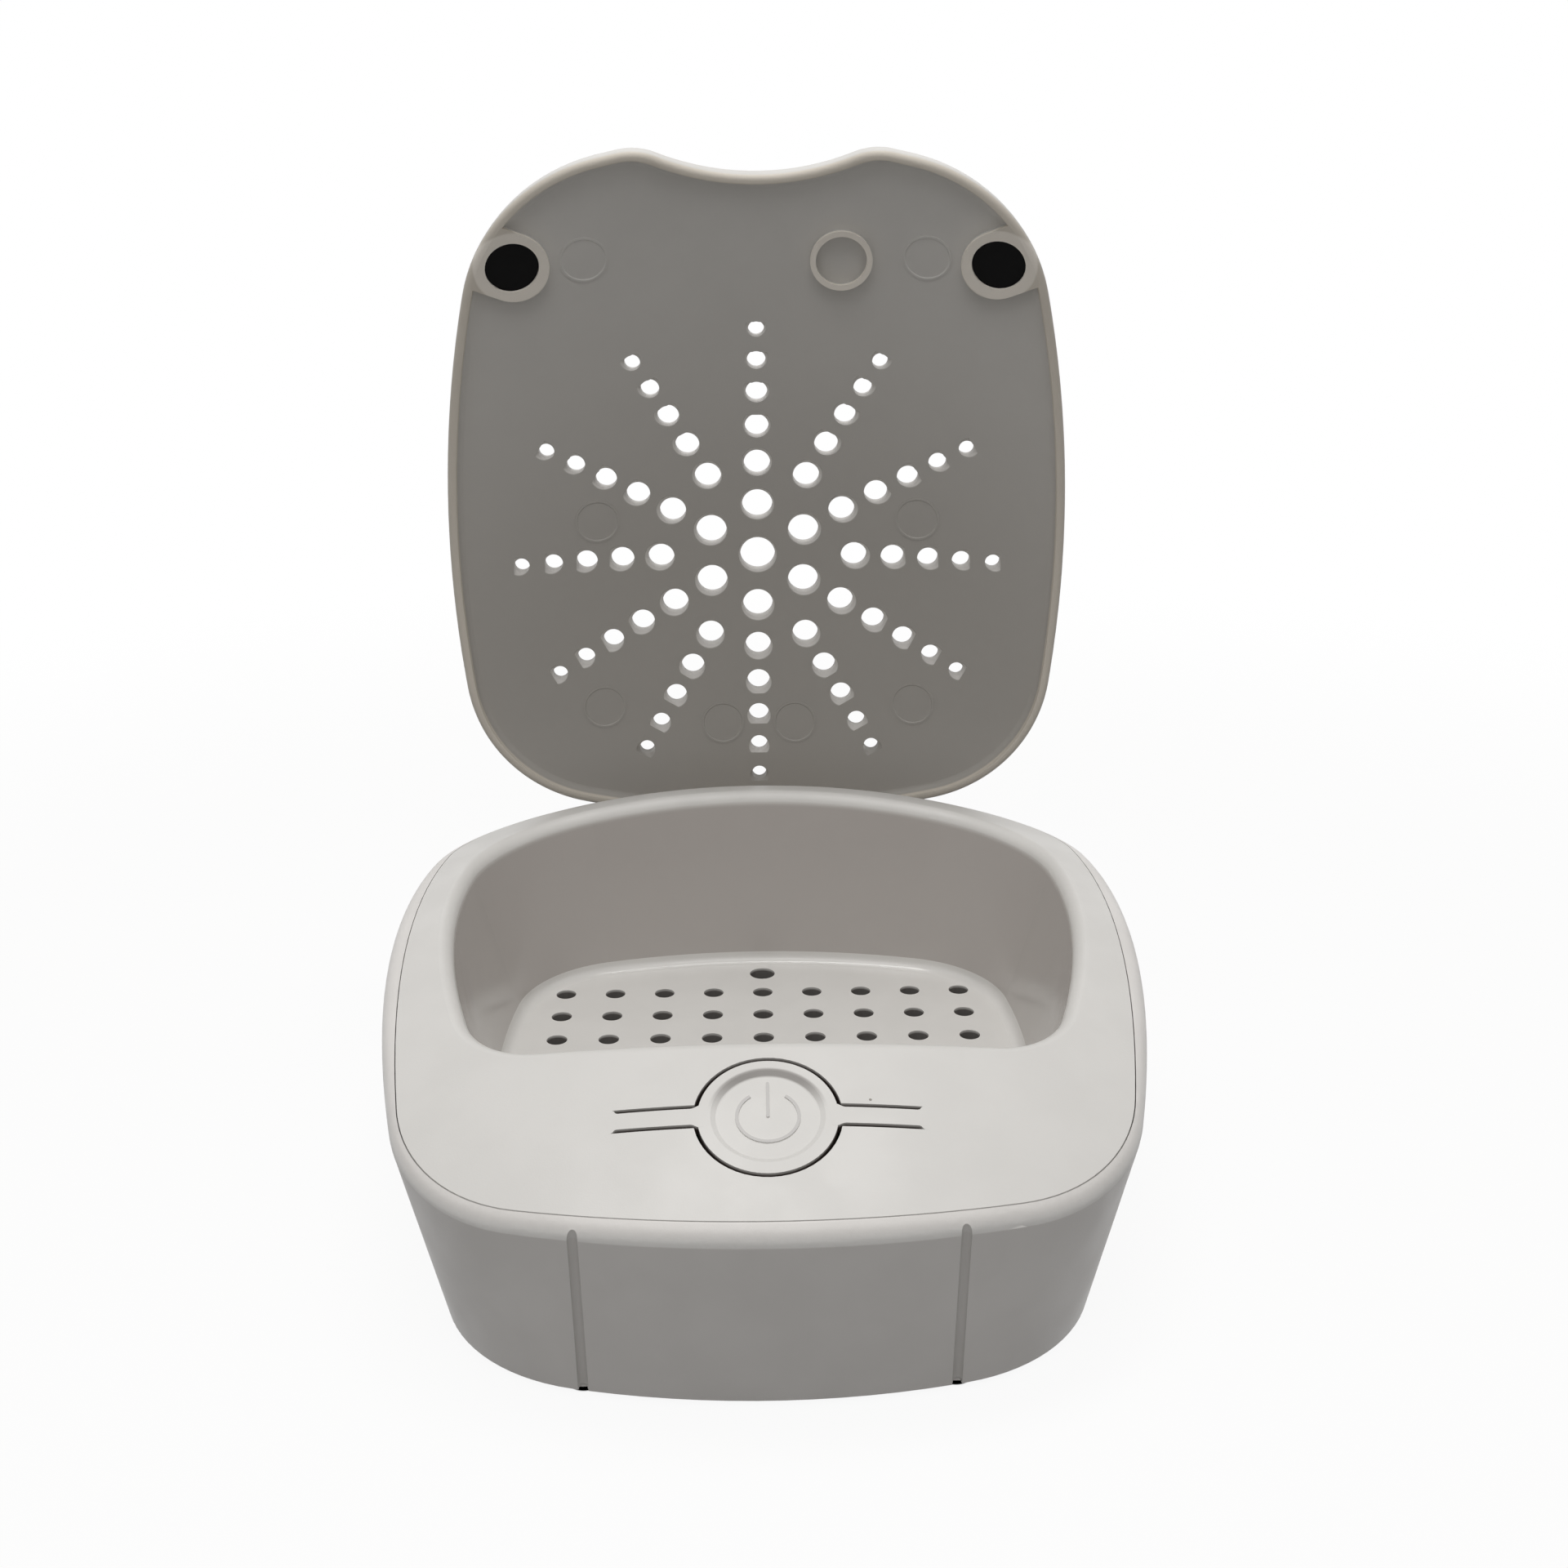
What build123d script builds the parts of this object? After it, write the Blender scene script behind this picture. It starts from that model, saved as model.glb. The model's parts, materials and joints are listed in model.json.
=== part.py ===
from build123d import *
import os
from math import cos, radians, sin, sqrt, tan

# A small heated dryer for hearing aids: a drafted tub with a domed cover, a bowl with a
# holed tray, a rocker power button and a holed lid that swings up behind the bowl.
# X is to the right, Y to the back and Z up. The origin is in the middle of the tub's flat
# underside, so the feet reach below it. Sizes are in millimetres.

# feet and tub
foot_height = 0.6            # how far the feet hold the tub off the table
foot_radius = 4.0
foot_recess = 0.6            # how deep a foot sits in the underside
foot_rounding = 0.2
foot_spot_x = 25.5
foot_spot_front = -22.5
foot_spot_rear = 24.0
underside_width = 69.4
underside_front = -41.9
underside_rear = 39.7
rim_level = 25.0             # where the rim's sizes are taken, over the underside
rim_width = 80.2
rim_front = -46.7
rim_rear = 45.2
widest_y = 9.0               # where the tub, the cover and the lid are widest
tub_side_radius = 187.0
tub_front_radius = 76.0
tub_rear_radius = 80.0
tub_front_corner = 18.0
tub_rear_corner = 17.5
wall = 2.0                   # lower wall of the tub
rim_wall = 3.2               # upper wall, thick enough for the cover's rebate
rim_wall_level = 13.0        # where the thicker wall starts, over the underside
floor_thickness = 2.0
rim_rounding = 1.8
groove_x = 17.0              # two shallow grooves down the front wall
groove_radius = 0.5
groove_depth = 0.42
notch_width = 0.8            # small notch at the foot of each groove
notch_height = 0.5
notch_depth = 1.1            # from the front of the groove inwards

# crown: one sphere that the tub's rim, the cover and the closed lid follow
crown_radius = 121.1
crown_y = 10.4
crown_height = 33.2          # its highest point, over the underside

# cover and bowl
cover_width = 76.2
cover_front = -44.25
cover_rear = 43.9
cover_front_corner = 18.0
cover_rear_corner = 15.5
cover_thickness = 1.6
seam_gap = 0.1               # between the cover's edge and the rim
seam_rounding = 0.12
bowl_level = 27.6            # where the bowl's opening is measured, over the underside
bowl_width = 67.2
bowl_front = -25.2
bowl_rear = 35.6
bowl_side_radius = 90.0
bowl_front_radius = 200.0
bowl_rear_radius = 70.0
bowl_front_corner = 10.0
bowl_rear_corner = 18.0
bowl_floor_width = 59.0      # the bowl at the level of the tray's floor
bowl_floor_front = -20.8
bowl_floor_rear = 33.8
bowl_floor_front_corner = 6.0
bowl_floor_rear_corner = 13.5
bowl_wall = 1.6
bowl_rounding = 1.2          # soft edge where the crown turns down into the bowl

# tray
tray_level = 8.2             # top of its flat floor, over the underside
tray_thickness = 1.4
tray_edge_level = 9.6        # top of its upturned edge, where the bowl's wall starts
tray_inner_rounding = 1.2
tray_outer_rounding = 1.0
tray_hole = 2.4
tray_hole_pitch = 6.02
tray_hole_columns = 9
tray_hole_rows = 7
tray_hole_rear = 24.97       # Y of the rearmost row
tray_port = 3.1              # single larger hole behind the rows
tray_port_y = 30.3

# power button, two bending arms and the switch below them
button_y = -34.1
button_radius = 6.34
button_slot = 0.4
button_dish_radius = 5.4
button_dish_floor = 4.7
button_dish_depth = 0.35
button_travel = 0.45
button_play = 0.05           # between the button's post and the switch plunger
button_post_radius = 1.5
arm_width = 1.8
arm_reach = 14.0             # from the button's centre to where an arm joins the cover
arm_thickness = 1.2
arm_gap = 0.12               # at both ends of an arm
symbol_radius = 2.8
symbol_line = 0.3
symbol_depth = 0.12
symbol_opening = 70.0        # degrees left open at the top of the ring
symbol_bar_low = -0.1
symbol_bar_high = 3.9

# lid
lid_gap = 0.1                # between the closed lid and the cover
lid_thickness = 1.6
lid_lip_depth = 1.1
lid_lip_width = 1.1
lid_cove = 1.0               # rounding between the lip and the inside of the plate
lid_width = 76.9
lid_front = -44.4
lid_rear = 44.3
lid_side_radius = 138.0
lid_front_radius = 78.0
lid_rear_radius = 85.0
lid_front_corner = 21.5
lid_rear_corner = 20.0
lid_edge_rounding = 0.7
lid_open_angle = 82.05       # degrees, from closed to resting open
finger_notch_radius = 28.0
finger_notch_depth = 4.2     # from the lid's front edge to the notch's deepest point
finger_notch_corner = 7.0
pattern_y = 8.77             # centre of the air holes
hole_chamfer = 0.25
centre_hole = 4.5
ring_radii = [6.8, 12.4, 17.34, 21.85, 26.03, 30.0]
ring_holes = [3.9, 3.35, 3.0, 2.7, 2.3, 1.95]
ring_counts = [6, 12, 12, 12, 12, 12]
first_ring_angle = 30.0

# magnets in the lid and the steel keepers under the cover
magnet_x = 27.7
magnet_y = -30.0
magnet_radius = 3.05
magnet_thickness = 1.8
magnet_wall = 1.0
magnet_boss_angle = 25.0     # degrees, how its boss runs out to the lid's edge
magnet_recess = 0.25
spare_ring_x = 9.9           # an empty ring on the lid
spare_ring_outer = 3.6
spare_ring_inner = 2.95
keeper_radius = 3.0
keeper_thickness = 1.5
keeper_cup_wall = 0.9
keeper_skin = 1.1            # cover left over a keeper

# hinge at the back
hinge_y = 44.2
hinge_height = 19.3          # over the underside
pin_radius = 1.0
running_fit = 0.05
press_fit = 0.01
barrel_radius = 2.2
hinge_half_width = 13.3
hinge_side_gap = 0.5
hinge_cheek = 1.8            # thickness of the tub's two ears round the pin
lid_arm_inner = 0.3          # the lid's arm, before and behind the hinge axis
lid_arm_outer = 1.5
pocket_front_gap = 0.7       # between the barrel and the pocket's front wall
pocket_wall = 1.6
pocket_floor_gap = 1.0
cover_notch_gap = 0.4

# screws: shank radius, head radius, head height
cover_screw = (0.8, 1.5, 1.0)
board_screw = (0.8, 1.5, 0.9)
heater_screw = (0.8, 1.5, 0.7)
socket_screw = (0.6, 1.2, 0.6)
screw_clearance = 0.2
post_wall = 0.8
slim_post_wall = 1.2         # round a screw that is driven straight into its post
boss_wall = 1.4
cover_post_height = 9.0      # top of the tub's screw posts, over the underside
cover_screw_seat = 5.0       # where the screw heads bear, over the underside
cover_screw_grip = 5.0       # how far a screw runs into the cover's boss
front_screw_spot = (21.5, -30.5)
rear_screw_spot = (28.2, 32.5)
boss_relief = 0.2            # between the cover's cups and bosses and the tub's wall

# control board, hung from the cover parallel to the crown under the button
board_depth = 7.6            # its top, under the crown's surface
board_half_length = 18.0
board_front = 6.5
board_rear = 4.5
board_thickness = 1.2
board_corner = 1.0
board_screw_x = 15.0
board_screw_inset = 2.8      # from the board's front edge
board_screw_length = 4.5
switch_size = 6.0
switch_height = 3.5
plunger_radius = 1.7
plunger_out = 0.9
plunger_length = 2.4
plunger_clearance = 0.1      # below the plunger at the end of its travel
switch_corner = 0.4
chip_size = 5.0
chip_height = 1.0
chip_x = 10.0
led_radius = 1.5
led_height = 2.6
led_x = -8.0

# heater under the tray
heater_length = 42.0
heater_depth = 30.0
heater_y = 3.0
heater_thickness = 1.0
heater_height = 2.8          # from the tub's floor to the heater plate
heater_screw_inset = 3.0
heater_screw_length = 4.0
element_length = 26.0
element_depth = 20.0
element_thickness = 0.8
plate_corner = 2.0
element_corner = 1.0
link_inset = 3.0             # from the element's rear edge to where the fuse's link joins it
element_x = 1.0
fuse_radius = 1.0
fuse_length = 8.0
fuse_x = -14.2
shield_margin = 2.0
shield_thickness = 0.3
tray_post_radius = 1.3
tray_post_x = 26.5
tray_post_front = -10.0
tray_post_rear = 16.0

# power socket low in the back wall
socket_board_length = 16.0
socket_board_depth = 7.0
socket_board_front = 30.5
socket_board_thickness = 0.8
socket_board_height = 0.4    # over the tub's floor
socket_length = 7.4
socket_width = 9.0
socket_height = 3.2
socket_skin = 0.3
socket_recess = 0.5          # from the wall's outside to the socket's mouth
socket_window_gap = 0.15
tongue_width = 6.7
tongue_thickness = 0.7
tongue_setback = 1.0
socket_screw_inset = 2.0
socket_screw_length = 2.4

# air slots in the underside
slot_length = 12.0
slot_width = 1.6
slot_pitch = 3.4
slot_rows = 3
slot_spread = 17.0
slot_y = -20.5

# leads
power_lead_radius = 0.7
heater_lead_radius = 0.6
lead_stub = 5.0

# values worked out from those above
underside = 0.0
tub_floor = underside + floor_thickness
crown_top = underside + crown_height
crown_centre = (0, crown_y, crown_top - crown_radius)
loft_top = crown_height + cover_thickness
tub_radii = (tub_side_radius, tub_front_radius, tub_rear_radius)
tub_corners = (tub_front_corner, tub_rear_corner)
cover_corners = (cover_front_corner, cover_rear_corner)
bowl_radii = (bowl_side_radius, bowl_front_radius, bowl_rear_radius)
lid_radii = (lid_side_radius, lid_front_radius, lid_rear_radius)
lid_corners = (lid_front_corner, lid_rear_corner)
tray_top = underside + tray_level
tray_bottom = tray_top - tray_thickness
tray_edge = underside + tray_edge_level
hinge_z = underside + hinge_height
lid_inside = crown_radius + lid_gap + lid_lip_depth
lid_outside = lid_inside + lid_thickness
lid_contact = crown_radius + lid_gap

# the closed lid swings back about the hinge to where it rests open
opening = Location((0, hinge_y, hinge_z), (-lid_open_angle, 0, 0)) * Location((0, -hinge_y, -hinge_z))


def crown_z(x, y, radius=crown_radius):
    # height of the crown, or of a sphere about the same centre, over one place
    return crown_centre[2] + sqrt(radius**2 - x**2 - (y - crown_y) ** 2)


def crown_plane(x, y):
    # plane on the crown's surface, its Z along the surface's outward normal
    normal = Vector(x, y - crown_y, crown_z(x, y) - crown_centre[2])
    return Plane(origin=(x, y, crown_z(x, y)), x_dir=(normal.Z, 0, -normal.X), z_dir=normal)


def crown_ball(radius, mode):
    # a sphere whose seam and poles lie away from the crown
    Sphere(radius, rotation=(0, 90, 0), mode=mode)


def crown_face():
    # the outermost face of the part that is open, on the crown's sphere
    return faces().filter_by(GeomType.SPHERE).sort_by(SortBy.AREA)[-1]


def lid_plane(plane):
    # a plane of the closed lid, carried to where the open lid is
    return Plane(opening * plane.location)


def at(height, low, high):
    # a size of the tub at a height over its underside
    return low + (high - low) * height / rim_level


def rounded_outline(half_width, front, rear, radii, corners, inset=0.0):
    # outline of two side arcs, a front and a rear arc with round corners; inset draws it smaller
    for side in (1, -1):
        with Locations((side * (half_width - radii[0]), widest_y)):
            Circle(radii[0] - inset, mode=Mode.ADD if side == 1 else Mode.INTERSECT)
    with Locations((0, front + radii[1])):
        Circle(radii[1] - inset, mode=Mode.INTERSECT)
    with Locations((0, rear - radii[2])):
        Circle(radii[2] - inset, mode=Mode.INTERSECT)
    fillet(vertices().group_by(Axis.Y)[0], corners[0] - inset)
    fillet(vertices().group_by(Axis.Y)[-1], corners[1] - inset)


def tub_outline(height, inset):
    half_width = at(height, underside_width, rim_width) / 2
    front = at(height, underside_front, rim_front)
    rear = at(height, underside_rear, rim_rear)
    rounded_outline(half_width, front, rear, tub_radii, tub_corners, inset)


def cover_outline(inset):
    rounded_outline(cover_width / 2, cover_front, cover_rear, tub_radii, cover_corners, inset)


def bowl_at(height, low, high):
    # a size of the bowl at a height, from its floor's and its opening's
    return low + (high - low) * (height - tray_level) / (bowl_level - tray_level)


def bowl_outline(height, inset):
    half_width = bowl_at(height, bowl_floor_width, bowl_width) / 2
    front = bowl_at(height, bowl_floor_front, bowl_front)
    rear = bowl_at(height, bowl_floor_rear, bowl_rear)
    corners = (
        bowl_at(height, bowl_floor_front_corner, bowl_front_corner),
        bowl_at(height, bowl_floor_rear_corner, bowl_rear_corner),
    )
    rounded_outline(half_width, front, rear, bowl_radii, corners, inset)


def lid_outline(inset):
    rounded_outline(lid_width / 2, lid_front, lid_rear, lid_radii, lid_corners, inset)
    notch_centre = lid_front + finger_notch_depth - finger_notch_radius
    with Locations((0, notch_centre)):
        Circle(finger_notch_radius + inset, mode=Mode.SUBTRACT)
    fillet(vertices().group_by(Axis.Y)[0], finger_notch_corner - inset)


def bend_radii(points):
    # as large an arc at each corner of a lead as its two runs allow
    radii = []
    for before, corner, after in zip(points, points[1:], points[2:]):
        arriving = Vector(*corner) - Vector(*before)
        leaving = Vector(*after) - Vector(*corner)
        half_turn = radians(arriving.get_angle(leaving)) / 2
        radii.append(0.45 * min(arriving.length, leaving.length) / tan(half_turn))
    return radii


def mirrored(spots):
    return [(side * x, y) for x, y in spots for side in (1, -1)]


def save(piece, name):
    piece.label = name
    export_step(piece, f"parts/{name}.step")


os.makedirs("parts", exist_ok=True)
cover_screw_spots = mirrored([front_screw_spot, rear_screw_spot])
foot_spots = {
    "foot_front_left": (-foot_spot_x, foot_spot_front),
    "foot_front_right": (foot_spot_x, foot_spot_front),
    "foot_rear_left": (-foot_spot_x, foot_spot_rear),
    "foot_rear_right": (foot_spot_x, foot_spot_rear),
}
tray_post_spots = mirrored([(tray_post_x, tray_post_front), (tray_post_x, tray_post_rear)])
heater_screw_spots = mirrored(
    [
        (heater_length / 2 - heater_screw_inset, heater_y + side * (heater_depth / 2 - heater_screw_inset))
        for side in (1, -1)
    ]
)
socket_screw_spots = mirrored(
    [(socket_board_length / 2 - socket_screw_inset, socket_board_front + socket_screw_inset)]
)
cover_post_radius = cover_screw[1] + screw_clearance + post_wall
heater_post_radius = heater_screw[0] + slim_post_wall
socket_post_radius = socket_screw[0] + slim_post_wall
heater_bottom = tub_floor + heater_height
heater_top = heater_bottom + heater_thickness
socket_board_bottom = tub_floor + socket_board_height
socket_board_top = socket_board_bottom + socket_board_thickness
socket_z = socket_board_top + socket_height / 2
back_wall_y = at(socket_z - underside, underside_rear, rim_rear)
socket_mouth_y = back_wall_y - socket_recess

keeper_planes = {
    "left": crown_plane(-magnet_x, magnet_y).offset(-keeper_skin),
    "right": crown_plane(magnet_x, magnet_y).offset(-keeper_skin),
}
keeper_cup_radius = keeper_radius + running_fit + keeper_cup_wall

# hinge pocket
pocket_half_width = hinge_half_width + hinge_side_gap
pocket_front = hinge_y - barrel_radius - pocket_front_gap
pocket_bottom = hinge_z - barrel_radius - pocket_floor_gap
block_half_width = pocket_half_width + hinge_cheek

# ---- lower housing ----
with BuildPart() as tub_space:
    for low, high, inset in (
        (floor_thickness, rim_wall_level, wall),
        (rim_wall_level, loft_top, rim_wall),
    ):
        for height in (low, high):
            with BuildSketch(Plane.XY.offset(underside + height)):
                tub_outline(height, inset)
        loft(ruled=True)
    # posts, bosses and the hinge's block are left standing in the space
    with BuildSketch(Plane.XY.offset(tub_floor)):
        with Locations(*cover_screw_spots):
            Circle(cover_post_radius)
    extrude(amount=underside + cover_post_height - tub_floor, mode=Mode.SUBTRACT)
    with BuildSketch(Plane.XY.offset(tub_floor)):
        with Locations(*tray_post_spots):
            Circle(tray_post_radius)
    extrude(amount=tray_bottom - tub_floor, mode=Mode.SUBTRACT)
    with BuildSketch(Plane.XY.offset(tub_floor)):
        with Locations(*heater_screw_spots):
            Circle(heater_post_radius)
    extrude(amount=heater_height, mode=Mode.SUBTRACT)
    with BuildSketch(Plane.XY.offset(tub_floor)):
        with Locations(*socket_screw_spots):
            Circle(socket_post_radius)
    extrude(amount=socket_board_height, mode=Mode.SUBTRACT)
    with BuildSketch(Plane.XY.offset(pocket_bottom - pocket_wall)):
        with Locations((0, pocket_front - pocket_wall)):
            Rectangle(2 * block_half_width, rim_rear, align=(Align.CENTER, Align.MIN))
    extrude(amount=crown_height, mode=Mode.SUBTRACT)

with BuildPart() as rebate:
    with BuildSketch(Plane.XY.offset(underside)):
        cover_outline(-seam_gap / 2)
    extrude(amount=2 * crown_height)
    with Locations(crown_centre):
        crown_ball(crown_radius - cover_thickness, Mode.SUBTRACT)

with BuildPart() as lower_housing:
    for height in (0, loft_top):
        with BuildSketch(Plane.XY.offset(underside + height)):
            tub_outline(height, 0)
    loft(ruled=True)
    with Locations(crown_centre):
        crown_ball(crown_radius, Mode.INTERSECT)
    fillet(crown_face().outer_wire().edges(), rim_rounding)
    add(tub_space.part, mode=Mode.SUBTRACT)
    add(rebate.part, mode=Mode.SUBTRACT)
    # hinge pocket, open to the back and through the rim, and the pin's bore
    with BuildSketch(Plane.XY.offset(pocket_bottom)):
        with Locations((0, pocket_front)):
            Rectangle(2 * pocket_half_width, rim_rear, align=(Align.CENTER, Align.MIN))
    extrude(amount=crown_height, mode=Mode.SUBTRACT)
    # ears that hold the pin behind the back wall
    for side in (1, -1):
        with BuildSketch(Plane.YZ.offset(side * pocket_half_width)):
            with Locations((hinge_y, hinge_z)):
                Circle(barrel_radius)
            with Locations((pocket_front, hinge_z)):
                Rectangle(hinge_y - pocket_front, 2 * barrel_radius, align=(Align.MIN, Align.CENTER))
        extrude(amount=side * hinge_cheek)
    with BuildSketch(Plane.YZ.offset(-block_half_width)):
        with Locations((hinge_y, hinge_z)):
            Circle(pin_radius + press_fit)
    extrude(amount=2 * block_half_width, mode=Mode.SUBTRACT)
    # room for the cover's keeper cups and screw bosses in the wall
    for plane in keeper_planes.values():
        with BuildSketch(plane.offset(-keeper_thickness - boss_relief)):
            Circle(keeper_cup_radius + boss_relief)
        extrude(amount=keeper_thickness + keeper_skin, mode=Mode.SUBTRACT)
    with BuildSketch(Plane.XY.offset(underside + cover_post_height)):
        with Locations(*cover_screw_spots):
            Circle(cover_post_radius + boss_relief)
    extrude(amount=crown_height, mode=Mode.SUBTRACT)
    # screw holes from beneath
    with BuildSketch(Plane.XY.offset(underside)):
        with Locations(*cover_screw_spots):
            Circle(cover_screw[1] + screw_clearance)
    extrude(amount=cover_screw_seat, mode=Mode.SUBTRACT)
    with BuildSketch(Plane.XY.offset(underside)):
        with Locations(*cover_screw_spots):
            Circle(cover_screw[0] + screw_clearance)
    extrude(amount=cover_post_height, mode=Mode.SUBTRACT)
    with BuildSketch(Plane.XY.offset(heater_top)):
        with Locations(*heater_screw_spots):
            Circle(heater_screw[0] + press_fit)
    extrude(amount=-heater_screw_length, mode=Mode.SUBTRACT)
    with BuildSketch(Plane.XY.offset(socket_board_top)):
        with Locations(*socket_screw_spots):
            Circle(socket_screw[0] + press_fit)
    extrude(amount=-socket_screw_length, mode=Mode.SUBTRACT)
    # recesses for the feet, air slots and the window for the power socket
    with BuildSketch(Plane.XY.offset(underside)):
        with Locations(*foot_spots.values()):
            Circle(foot_radius + press_fit)
    extrude(amount=foot_recess, mode=Mode.SUBTRACT)
    with BuildSketch(Plane.XY.offset(underside)):
        with Locations((0, slot_y)):
            with GridLocations(slot_spread, slot_pitch, 2, slot_rows):
                SlotOverall(slot_length, slot_width)
    extrude(amount=floor_thickness, mode=Mode.SUBTRACT)
    with BuildSketch(Plane.XZ.offset(-back_wall_y - wall)):
        with Locations((0, socket_z)):
            SlotOverall(socket_width + 2 * socket_window_gap, socket_height + 2 * socket_window_gap)
    extrude(amount=socket_length, mode=Mode.SUBTRACT)
    # grooves down the front wall, along its slope
    for side in (1, -1):
        feet_and_tops = []
        for height in (0, rim_level):
            front = at(height, underside_front, rim_front)
            sagitta = tub_front_radius - sqrt(tub_front_radius**2 - groove_x**2)
            wall_y = front + sagitta - groove_radius + groove_depth
            feet_and_tops.append(Vector(side * groove_x, wall_y, underside + height))
        low, high = feet_and_tops
        with BuildSketch(Plane(origin=low, z_dir=high - low)):
            Circle(groove_radius)
        extrude(amount=rim_level, both=True, mode=Mode.SUBTRACT)
        with BuildSketch(Plane.XY.offset(underside)):
            with Locations((low.X, low.Y - groove_radius)):
                Rectangle(notch_width, notch_depth, align=(Align.CENTER, Align.MIN))
        extrude(amount=notch_height, mode=Mode.SUBTRACT)
save(lower_housing.part, "lower_housing")

# ---- feet ----
for name, spot in foot_spots.items():
    with BuildPart() as foot:
        with BuildSketch(Plane.XY.offset(underside - foot_height)):
            with Locations(spot):
                Circle(foot_radius)
        extrude(amount=foot_height + foot_recess)
        fillet(foot.edges().group_by(Axis.Z)[0], foot_rounding)
    save(foot.part, name)

# ---- top cover with the bowl's wall ----
button_plane = crown_plane(0, button_y)
board_plane = button_plane.offset(-board_depth)
board_bottom_plane = board_plane.offset(-board_thickness)
board_middle = (board_rear - board_front) / 2
board_screw_y = board_screw_inset - board_front
board_screw_spots = [(board_screw_x, board_screw_y), (-board_screw_x, board_screw_y)]
board_boss_radius = board_screw[0] + boss_wall

with BuildPart() as cover_inside:
    for height in (tray_edge_level, loft_top):
        with BuildSketch(Plane.XY.offset(underside + height)):
            bowl_outline(height, -bowl_wall)
    loft(ruled=True)
    with BuildSketch(Plane.XY.offset(underside + cover_post_height)):
        with Locations(*cover_screw_spots):
            Circle(cover_post_radius)
    extrude(amount=crown_height)
    with BuildSketch(board_plane):
        with Locations(*board_screw_spots):
            Circle(board_boss_radius)
    extrude(amount=board_depth)
    for plane in keeper_planes.values():
        with BuildSketch(plane.offset(-keeper_thickness)):
            Circle(keeper_cup_radius)
        extrude(amount=keeper_thickness + keeper_skin)
    with Locations(crown_centre):
        crown_ball(crown_radius - cover_thickness / 2, Mode.INTERSECT)

with BuildPart() as top_cover:
    with BuildSketch(Plane.XY.offset(underside)):
        cover_outline(seam_gap / 2)
    extrude(amount=2 * crown_height)
    with Locations(crown_centre):
        crown_ball(crown_radius, Mode.INTERSECT)
        crown_ball(crown_radius - cover_thickness, Mode.SUBTRACT)
    fillet(crown_face().outer_wire().edges(), seam_rounding)
    add(cover_inside.part)
    for height in (tray_edge_level, loft_top):
        with BuildSketch(Plane.XY.offset(underside + height)):
            bowl_outline(height, 0)
    loft(ruled=True, mode=Mode.SUBTRACT)
    fillet(crown_face().inner_wires()[0].edges(), bowl_rounding)
    # opening for the button and its arms
    with BuildSketch(button_plane.offset(-2 * cover_thickness)):
        Circle(button_radius + button_slot)
        Rectangle(2 * arm_reach, arm_width + 2 * button_slot)
    extrude(amount=4 * cover_thickness, mode=Mode.SUBTRACT)
    # notch for the lid's arm
    with BuildSketch(Plane.XY.offset(pocket_bottom)):
        with Locations((0, hinge_y - lid_arm_inner - cover_notch_gap)):
            Rectangle(2 * pocket_half_width, rim_rear, align=(Align.CENTER, Align.MIN))
    extrude(amount=crown_height, mode=Mode.SUBTRACT)
    # bores for keepers and screws
    for plane in keeper_planes.values():
        with BuildSketch(plane):
            Circle(keeper_radius + running_fit)
        extrude(amount=-2 * keeper_thickness, mode=Mode.SUBTRACT)
    with BuildSketch(Plane.XY.offset(underside + cover_post_height)):
        with Locations(*cover_screw_spots):
            Circle(cover_screw[0] + press_fit)
    extrude(amount=cover_screw_grip, mode=Mode.SUBTRACT)
    with BuildSketch(board_plane):
        with Locations(*board_screw_spots):
            Circle(board_screw[0] + press_fit)
    extrude(amount=board_screw_length - board_thickness, mode=Mode.SUBTRACT)
save(top_cover.part, "top_cover")

# ---- drying tray ----
with BuildPart() as drying_tray:
    for height in (tray_level - tray_thickness, tray_edge_level):
        with BuildSketch(Plane.XY.offset(underside + height)):
            bowl_outline(height, -bowl_wall)
    loft(ruled=True)
    fillet(faces().sort_by(Axis.Z)[0].outer_wire().edges(), tray_outer_rounding)
    for height in (tray_level, tray_edge_level):
        with BuildSketch(Plane.XY.offset(underside + height)):
            bowl_outline(height, 0)
    loft(ruled=True, mode=Mode.SUBTRACT)
    floor_face = faces().filter_by(Axis.Z).sort_by(Axis.Z)[1]
    fillet(floor_face.outer_wire().edges(), tray_inner_rounding)
    with BuildSketch(Plane.XY.offset(tray_bottom)):
        with Locations((0, tray_hole_rear - tray_hole_pitch * (tray_hole_rows - 1) / 2)):
            with GridLocations(tray_hole_pitch, tray_hole_pitch, tray_hole_columns, tray_hole_rows):
                Circle(tray_hole / 2)
        with Locations((0, tray_port_y)):
            Circle(tray_port / 2)
    extrude(amount=tray_edge - tray_bottom, mode=Mode.SUBTRACT)
save(drying_tray.part, "drying_tray")

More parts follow.
